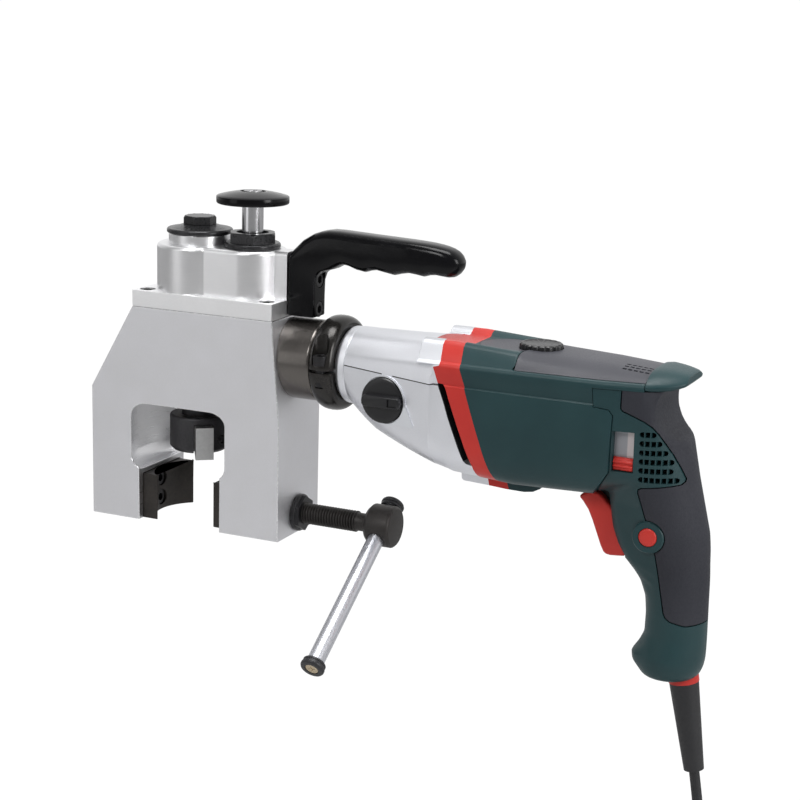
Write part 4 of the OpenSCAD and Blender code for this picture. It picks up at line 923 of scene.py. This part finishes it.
def makeTopCover():
    piece = copyPiece(skin, "topCover")
    room = block("deck", (238, -far, 134.75), (318, far, 170))
    addTo(room, tongueRoom(203.3, 16.9))
    keepIn(piece, room)
    cutWith(piece, zRod("dialSeat", *deck["seat"]), block("hollow", *deck["hollow"]))
    long, half = deck["slot"]
    slots = []
    for row in range(deck["slots"][1]):
        for k in range(deck["slots"][0]):
            x, y = (a + b * n for a, b, n in zip(deck["slotStart"], deck["slotPitch"], (k, row)))
            slots.append(block("slot", (x, y - half, 130), (x + long, y + half, 160)))
    cutWith(piece, joinPieces(*slots))
    flatten(piece)
    finishPiece(piece, "top_cover", "grey")


makeGearbox()
makeBand()
makeMotor()
makeTopCover()
for spare in (skin, motorRoom):
    bpy.data.objects.remove(spare)
print("drill housing made")


# handle: horizontal sections of the grip, blended into the rear of the motor
handle = {
    # height, front, back and half width of each level
    "levels": [(74, 290, 346.4, 27), (57, 291.5, 350.7, 24.4), (40, 294, 355, 22), (30, 297.6, 356, 20.8),
        (21, 303, 356.4, 20), (14, 309.5, 356.8, 19.6), (8, 314.2, 357, 19.5), (-2, 318, 357.1, 19.2),
        (-12, 320.2, 357.3, 19), (-25, 320, 357.5, 19.2), (-32, 316, 357.5, 20.2), (-39, 311.4, 357.3, 21),
        (-44, 312, 356.4, 20.6), (-48.5, 316, 354.6, 19), (-51.4, 321, 352, 16.6), (-52, 323, 350, 15)],
    "pad": [(305.4, 136), (305.4, 119.2), (306.4, 117.8), (313, 115.2), (319.6, 112.2), (324, 109),
        (327.6, 104.6), (330.9, 99.6), (335.4, 92.6), (339.4, 84.6), (342.6, 77), (342.4, 75.2),
        (340.6, 73.4), (318.6, 70.4), (317, 69.4), (316.8, 67.4), (321.5, 51), (328, 28), (335, -7),
        (336.4, -9.7), (339, -11.5), (348, -13.8), (372, -11.5), (372, 136)],
    "core": [(290, 120), (290, 60), (310, 30), (318, -20), (346, -20), (345, 30), (339, 58), (332, 78),
        (322, 92), (316, 103), (308, 112), (300, 120)],
    "coreSide": 14,
    # points of the neck under the deck: station, half width and height, and the hollow behind it
    "neck": [(274, 35.4, 134), (274, 36, 119), (318, 30, 134), (318, 30.2, 119), (327, 22.5, 134),
        (327, 21.5, 119), (331.6, 11, 134), (331, 9, 119)],
    "hollow": (343.8, 118, 20),
    "air": [(313, 71), (334, 71), (334, 80), (327, 97), (323, 105.5), (313, 105.5)], "airSide": 14,
    "button": (323.3, 40), "bezel": 10, "buttonR": 5.7, "switchRoom": ((317, -11.3, 24), (339, 11.3, 58)),
    "slider": (301.1, 313.2, 80.5, 88.5, 16), "sliderFloor": -25, "padGap": 1.1, "halfGap": 0.12,
    "vents": (3, 4, 5, 6, 6, 7), "ventStart": (316.7, 104.2), "ventPitch": (3.35, 5.55),
    "ventHole": (2.7, 3.4), "screws": [(305, 67), (324, 12), (330, -34), (308, 108.5)],
}


def gripRing(level, count=56):
    z, front, back, half = level
    nose = 0.7 * half
    ring = []
    for k in range(count):
        turn = 2 * pi * k / count
        c, s = cos(turn), sin(turn)
        ends = [(front + nose, nose), (back - half, half)]
        x, r = max(ends, key=lambda e: e[0] * c + e[1])
        ring.append((x + r * c, r * s, z))
    return ring


def hullOf(name, points):
    piece = addPiece(name, bpy.ops.mesh.primitive_circle_add, vertices=len(points), radius=1)
    mesh = editMesh(piece)
    for v, p in zip(mesh.verts, points):
        v.co = Vector(p) * mm
    bmesh.update_edit_mesh(piece.data)
    pickAll()
    bpy.ops.mesh.convex_hull()
    leaveEdit()
    return piece


def disc(x, radius, z, count=48):
    turns = [2 * pi * k / count for k in range(count)]
    return [(x, radius * cos(t), z + radius * sin(t)) for t in turns]


def handleForm():
    rear = disc(284, 35, 94) + disc(318, 26, 97) + disc(331, 13, 107) + gripRing(handle["levels"][0])
    for x, wide, z in handle["neck"]:
        rear += [(x, wide, z), (x, -wide, z)]
    form = hullOf("handleForm", rear)
    x, z, radius = handle["hollow"]
    cutWith(form, yRod("hollow", -far, far, radius, x, z, 96))
    addTo(form, ringLoft("grip", [gripRing(level) for level in reversed(handle["levels"])]))
    useModifier(form, "REMESH", mode="VOXEL", voxel_size=1.3 * mm)
    useModifier(form, "SMOOTH", factor=0.5, iterations=9)
    return cutWith(form, block("deckRoom", (200, -far, 129.8), (450, far, 200)))


form = handleForm()
print("handle form", len(form.data.polygons))


# the motor's outline, a little larger, so that the joint shows as a dark line
def motorPart():
    return swell(fixNormals(partOf("motor")), regions["partGap"])


def gripCore():
    return sidePrism("core", handle["core"], -handle["coreSide"], handle["coreSide"])


def makeGripPad():
    piece = copyPiece(form, "softGrip")
    keepIn(piece, sidePrism("padRoom", handle["pad"]))
    cutWith(piece, gripCore(), yRod("bezelRoom", -far, far, handle["bezel"] + 0.6, *handle["button"]))
    roundEdges(piece, 0.7)
    finishPiece(piece, "grip_pad", "soft")


# the outer ends of each row of vents are round
roundEnd = [radians(a) for a in (0, 30, 60, 90, 120, 150, 180)]


def ventOutline(x, z, first, last):
    wide, high = handle["ventHole"]
    half, end = high / 2, x + wide
    left, right = [(x, z + half), (x, z - half)], [(end, z - half), (end, z + half)]
    if first:
        left = [(x + half - half * sin(t), z + half * cos(t)) for t in roundEnd]
    if last:
        right = [(end - half + half * sin(t), z - half * cos(t)) for t in roundEnd]
    return left + right


def ventHoles(side):
    holes = []
    for row, count in enumerate(handle["vents"]):
        for k in range(count):
            x = handle["ventStart"][0] + k * handle["ventPitch"][0]
            z = handle["ventStart"][1] - row * handle["ventPitch"][1]
            outline = ventOutline(x, z, k == 0, k == count - 1)
            holes.append(fixNormals(sidePrism("vent", outline, side * 26 - 13, side * 26 + 13)))
    return joinPieces(*holes)


def makeShell(side, name, node):
    piece = copyPiece(form, name)
    ends = sorted((side * far, side * handle["halfGap"]))
    keepIn(piece, block("half", (200, ends[0], -150), (450, ends[1], 250)))
    cutWith(piece, motorPart())
    room = swell(sidePrism("padRoom", handle["pad"]), handle["padGap"])
    cutWith(room, gripCore())
    cutWith(piece, room, triggerRoom(), block("switchRoom", *handle["switchRoom"]))
    cutWith(piece, sidePrism("airRoom", handle["air"], -handle["airSide"], handle["airSide"]))
    cutWith(piece, ventHoles(side))
    if side < 0:
        x, z = handle["button"]
        wide = handle["bezel"]
        bezel = turned("bezel", (x, -17, z), (0, -1, 0), [(0, wide), (5, wide), (5.8, wide - 0.8)])
        addTo(piece, bezel)
        cutWith(piece, yRod("buttonBore", -far, -11, handle["buttonR"] + 0.25, x, z))
        x0, x1, z0, z1, travel = handle["slider"]
        high = (x1 + 0.5, handle["sliderFloor"], z1 + travel + 0.5)
        cutWith(piece, block("sliderRoom", (x0 - 0.5, -far, z0 - 0.5), high))
    else:
        for x, z in handle["screws"]:
            cutWith(piece, yRod("screwRoom", 10, far, 3.6, x, z))
    flatten(piece, 38)
    finishPiece(piece, node, "green")


makeGripPad()
makeShell(-1, "handleNear", "handle_shell_left")
makeShell(1, "handleFar", "handle_shell_right")
bpy.data.objects.remove(form)
print("handle made")


# carry handle: sections along its bend, from the foot of the upright to the rounded end
carry = {
    # outer point, inner point, half width and squareness of each section
    "sections": [(70.2, 147.6, 89.4, 147.6, 8.4, 9), (70.2, 148.2, 89.5, 148.2, 9, 9),
        (70.2, 160, 89.5, 160, 9, 9), (70.2, 171, 89.8, 170.5, 9.2, 8), (70.3, 180, 91.4, 175.4, 9.8, 7),
        (70.6, 186.6, 94.6, 178, 10.3, 6), (73.9, 190.8, 97.6, 178.7, 10.6, 5),
        (80.3, 197.3, 101.4, 179.8, 10.9, 4.4), (87.6, 201.8, 104.6, 181.6, 11.1, 4),
        (93, 203.7, 107.4, 182.9, 11.2, 3.8), (98.5, 204.7, 110.2, 183.3, 11.2, 3.6),
        (106, 204.7, 113.5, 182.7, 11.2, 3.6), (115, 204.3, 118.6, 180.9, 11.2, 3.6),
        (124, 203.9, 124.4, 180, 11.2, 3.6), (128, 203.7, 128, 181.2, 11.2, 3.6),
        (132.4, 203.5, 132.4, 182, 11.2, 3.6), (138, 203.3, 138, 181, 11.2, 3.6),
        (144.8, 203, 144.8, 179.9, 11.2, 3.6), (149.6, 202.8, 149.6, 181.2, 11.2, 3.6),
        (154.6, 202.6, 154.6, 182.1, 11.2, 3.6), (159.6, 202.3, 159.6, 181.6, 11.1, 3.6),
        (165, 202, 165, 180.8, 11, 3.5), (169, 201.6, 169, 182, 10.9, 3.4),
        (173, 201.1, 173, 182.4, 10.7, 3.3), (177, 200.4, 177, 181.9, 10.4, 3.2),
        (181, 199.4, 181, 181.5, 9.9, 3), (184.4, 198, 184, 181.9, 9, 2.8),
        (187, 196, 186.4, 183.6, 7.5, 2.6), (188.8, 193.6, 188.3, 186, 5.2, 2.4),
        (189.6, 191.4, 189.4, 188.4, 2.4, 2.2)],
    "screws": (152, 171.5), "screwR": 5.4,
}


def crossRing(outerX, outerZ, innerX, innerZ, half, power, count=40):
    middle = [(outerX + innerX) / 2, (outerZ + innerZ) / 2]
    reach = [(outerX - innerX) / 2, (outerZ - innerZ) / 2]
    ring = []
    for k in range(count):
        turn = 2 * pi * (k + 0.5) / count
        c, s = cos(turn), sin(turn)
        along = copysign(abs(c) ** (2 / power), c)
        across = copysign(abs(s) ** (2 / power), s)
        ring.append((middle[0] + reach[0] * along, half * across, middle[1] + reach[1] * along))
    return ring


def makeCarryHandle():
    piece = ringLoft("carryHandle", [crossRing(*section) for section in carry["sections"]])
    fixNormals(piece)
    for z in carry["screws"]:
        cutWith(piece, xRod("screwRoom", 83.5, 110, carry["screwR"], z), xRod("screwRoom", 60, 90, 3.1, z))
    smoothBy(piece, 36)
    finishPiece(piece, "carry_handle", "gloss")


makeCarryHandle()


# clamp collar: a round ring with a slit and a pocket for its screw
collar = {"x0": 96.3, "width": 16.5, "outer": 31, "bore": 21.55, "screw": (104.55, -26.95), "screwR": 5.5,
          "screwHole": 3.1}


def makeCollar():
    c = collar
    wall, middle = (c["outer"] - c["bore"]) / 2, (c["outer"] + c["bore"]) / 2
    profile = []
    for k in range(28):
        turn = 2 * pi * k / 28
        co, si = cos(turn), sin(turn)
        along = c["width"] / 2 * (1 + copysign(abs(si) ** 0.86, si))
        power = 1 if co > 0 else 0.25
        profile.append((along, middle + wall * copysign(abs(co) ** power, co)))
    piece = turned("clampCollar", (c["x0"], 0, drill["axis"]), (1, 0, 0), profile, 96, True)
    cutWith(piece, block("slit", (90, -40, drill["axis"] - 2), (120, -19, drill["axis"])))
    x, y = c["screw"]
    cutWith(piece, zRod("screwRoom", drill["axis"] + 3, drill["axis"] + 43, c["screwR"], x, y))
    cutWith(piece, zRod("screwRoom", drill["axis"] - 12, drill["axis"] + 8, c["screwHole"], x, y))
    bevel(piece, 0.4, 50, clamp=True)
    smoothBy(piece, 40)
    finishPiece(piece, "clamp_collar", "collar")


makeCollar()


# green hood over the rear of the upper deck
hood = {
    "half": [(0, 140.8), (6, 140.8), (11, 140.6), (15, 140.2), (18.6, 139.5), (21.6, 138.5), (24.2, 137.3),
        (26.4, 136), (28.2, 134.6), (29.4, 133.4), (29.8, 132.2), (29.4, 131), (28, 130.2), (25.4, 129.8),
        (20, 129.65), (10, 129.6), (0, 129.6)],
    # station, top, bottom and half width
    "stations": [(318.15, 140.1, 129.6, 29.4), (318.5, 140.8, 129.6, 29.9), (322.6, 141.5, 129.6, 29.2),
        (327.6, 141.1, 129.9, 27.2), (332.4, 140.5, 130.6, 24.4), (336.2, 139.8, 131.6, 21.4),
        (338.8, 139.2, 132.6, 19), (339.8, 138.5, 133.3, 17.6), (340.2, 137.6, 134.3, 16.4)],
}


def makeHood():
    wide, top = max(y for y, z in hood["half"]), hood["half"][0][1]
    bottom = hood["half"][-1][1]
    rings = []
    for x, high, low, side in hood["stations"]:
        tall = (high - low) / (top - bottom)
        half = [(y * side / wide, low + (z - bottom) * tall) for y, z in hood["half"]]
        rings.append([(x, y, z) for y, z in half] + [(x, -y, z) for y, z in reversed(half[1:-1])])
    piece = flatten(fixNormals(ringLoft("tailHood", rings)), 40)
    finishPiece(piece, "tail_cap", "green")


makeHood()


# speed dial: a lobed disc with a hollow top
dial = {"place": (242.6, 0), "lobes": 16, "radius": 13.1, "depth": 0.42, "count": 160,
        "profile": [(139.4, 0.985), (144.9, 1), (145.9, 0.985), (146.5, 0.93), (146.6, 0.86), (146.1, 0.8),
                    (146.1, 0.05)]}


def makeDial():
    x, y = dial["place"]
    rings = []
    for z, share in dial["profile"]:
        depth = dial["depth"] * min(1, max(0, (share - 0.8) * 6))
        ring = []
        for k in range(dial["count"]):
            turn = 2 * pi * k / dial["count"]
            wave = 1 - 2 * abs(sin(dial["lobes"] * turn / 2)) ** 8
            radius = dial["radius"] * share + depth * wave
            ring.append((x + radius * cos(turn), y + radius * sin(turn), z))
        rings.append(ring)
    piece = smoothBy(fixNormals(ringLoft("speedDial", rings)), 30)
    finishPiece(piece, "speed_dial", "knob")


makeDial()


# gear selector: a round knob with a grip bar and a pointer hollow
selectorKnob = {
    "back": -24.8, "barSide": (-38, -32), "taper": 0.8,
    "pointer": ((156.5, -60, 102.7), (162.6, -36.9, 107.7)),
    "profile": [(0, 4), (4.1, 4), (4.1, 14.2), (4.5, 14.5), (7.4, 14.5), (8.2, 13.9), (8.6, 12.6), (8.7, 11)],
    "bar": [(139.8, 100.9), (163.2, 100.9), (164.6, 102.4), (165.2, 105.2), (164.6, 108), (163.2, 109.5),
        (139.8, 109.5), (138.8, 107.6), (138.5, 105.2), (138.8, 102.8)],
}


def makeSelector():
    s, z = selectorKnob, selector["z"]
    piece = turned("gearSelector", (selector["x"], s["back"], z), (0, -1, 0), s["profile"], 96)
    bar = sidePrism("bar", s["bar"], *s["barSide"])
    mesh = editMesh(bar)
    for v in mesh.verts:
        if v.co.y < -37 * mm:
            v.co.z = (z + (v.co.z / mm - z) * s["taper"]) * mm
    bmesh.update_edit_mesh(bar.data)
    leaveEdit()
    addTo(piece, roundEdges(bar, 0.7))
    cutWith(piece, block("pointer", *s["pointer"]))
    smoothBy(piece, 34)
    finishPiece(piece, "gear_selector", "knob")


makeSelector()


# small red controls
trigger = {
    "outline": [(274, 55.4), (278.5, 58.6), (283, 60), (287, 59.2), (290, 57), (297, 49.4), (303, 40),
        (305.6, 31), (306.5, 22.5), (304.6, 21.3), (301, 20.9), (296, 20.5), (293.4, 20.9), (291.6, 22.2),
        (289.6, 26), (286.6, 33.6), (283.6, 41.2), (280.6, 47.6), (277, 52.4)],
    "half": 9, "arm": ((270, -3.4, 50), (300, 3.4, 65)), "pin": (-7, 7, 1.55, 285, 57),
}
button = {"back": -14.2, "profile": [(0, 5.6), (0.2, 5.7), (8.2, 5.7), (8.8, 5.4), (9.1, 4.9), (9.25, 3.4)]}
# the slide's ribs run across it: depth behind its face and height above its foot
ribs = [(1.4, 0), (0.9, 0.5), (0.9, 1.6), (0, 2.4), (0, 3.2), (1.1, 3.7), (1.1, 4.4), (0, 4.9), (0, 5.8),
    (0.9, 6.4), (1.1, 7.6)]


def makeTrigger():
    piece = sidePrism("triggerLever", trigger["outline"], -trigger["half"], trigger["half"])
    roundEdges(piece, 1.8, 4)
    cutWith(piece, block("armRoom", *trigger["arm"]), yRod("pinRoom", *trigger["pin"]))
    smoothBy(piece, 40)
    finishPiece(piece, "trigger", "red")


def makeButton():
    x, z = handle["button"]
    piece = turned("lockButton", (x, button["back"], z), (0, -1, 0), button["profile"])
    finishPiece(piece, "lock_button", "red")


def makeSlider():
    x0, x1, z0, z1, travel = handle["slider"]
    back, face = handle["sliderFloor"] - 0.9, handle["sliderFloor"] - 4.2
    steps = [(face + deep, z0 + high) for deep, high in ribs]
    steps = [(back, z0), *steps, (face + 1.7, z1), (back, z1)]
    piece = fixNormals(ringLoft("directionSlide", [[(x, y, z) for y, z in steps] for x in (x0, x1)]))
    roundEdges(piece, 0.25)
    smoothBy(piece, 35)
    finishPiece(piece, "direction_slider", "red")


makeTrigger()
makeButton()
makeSlider()
print("controls made")


# the CAD nodes that show as they are get the finish of their piece
nodeFinish = {
    # the cutter spindle takes the dark hub finish, its darkness partly a painted shade above the hub
    "oxide": "shell_screws", "hub": "cutter_spindle", "bronze": "head_bearings drill_bearings",
    "gear": "crown_gear feed_sleeve shift_gear drive_pinion drill_spindle low_gear high_gear gear_shaft",
    "black": "cooling_fan carbon_brushes switch_block coil_tie", "winding": "armature stator",
    "red": "cord_ring", "lead": "cord_boot mains_plug", "plate": "slider_plate",
}
for key, names in nodeFinish.items():
    for name in names.split():
        dress(nodes[name], key)
print("CAD nodes finished")


# stage: a pale floor below the hanging lead, a white surround and soft lamps
stage = {"floor": (0.2, 0, -0.3395), "floorSize": 12, "white": 1.02, "sweep": (-0.55, 0.6, 0.16, 0.62),
         "mirrored": 1.5, "glow": 0.9, "glowPower": 1.1, "aim": (0.16, 0, 0.07)}
# place, size and power
lamps = {
    "leftLamp": ((-0.95, -1.45, 0.35), (0.8, 0.9), 1.9),
    "frontLamp": ((-0.1, -1.6, 1.2), (0.6, 0.5), 9.5),
    "topLamp": ((0.2, -0.1, 1.7), (1.0, 0.8), 21),
    "sideLamp": ((1.7, -0.4, 0.6), (0.6, 0.9), 12),
}


def makeWorld():
    world = bpy.data.worlds.new("studio")
    world.use_nodes = True
    bpy.context.scene.world = world
    w = NodeTree(world.node_tree)
    way = w.make("ShaderNodeTexCoord", {}, {}, "Generated")
    ahead = w.make("ShaderNodeSeparateXYZ", {}, {0: way}, "Y")
    # reflections see a brighter surround than the fill light, the camera sees white
    glossy = w.make("ShaderNodeLightPath", {}, {}, "Is Glossy Ray")
    seen = w.make("ShaderNodeLightPath", {}, {}, "Is Camera Ray")
    fill = ahead.above(*stage["sweep"]) * glossy.above(0, 1, 1, stage["mirrored"])
    strength = w.make("ShaderNodeMix", {}, {0: seen, 2: fill, 3: stage["white"]})
    w.put(w.tree.nodes["Background"], {"Color": (1, 1, 1, 1), "Strength": strength})


def makeFloor():
    adder = bpy.ops.mesh.primitive_plane_add
    floor = addPiece("paleFloor", adder, size=stage["floorSize"], location=stage["floor"])
    f = Finish("paleFloorPaint")
    tone = f.mix(f.noise(3).above(0.3, 0.7), (0.6, 0.6, 0.6), (0.64, 0.64, 0.64))
    f.shade({"Base Color": tone, "Roughness": 0.9})
    seen = f.make("ShaderNodeLightPath", {}, {}, "Is Camera Ray")
    glow = f.make("ShaderNodeEmission", {}, {"Color": (1, 1, 1, 1), "Strength": stage["glowPower"]})
    paint = Wire(f, f.shader.outputs[0])
    both = f.make("ShaderNodeMixShader", {}, {0: seen * stage["glow"], 1: paint, 2: glow})
    f.put(f.tree.nodes["Material Output"], {"Surface": both})
    floor.data.materials.append(f.material)


def makeLamp(name, place, size, power):
    lamp = bpy.data.lights.new(name, "AREA")
    lamp.shape = "RECTANGLE"
    lamp.size, lamp.size_y = size
    lamp.energy = power
    holder = linked(name, lamp)
    holder.location = place
    holder.rotation_euler = (Vector(stage["aim"]) - Vector(place)).to_track_quat("-Z", "Y").to_euler()


makeWorld()
makeFloor()
for name, values in lamps.items():
    makeLamp(name, *values)
print("stage set")
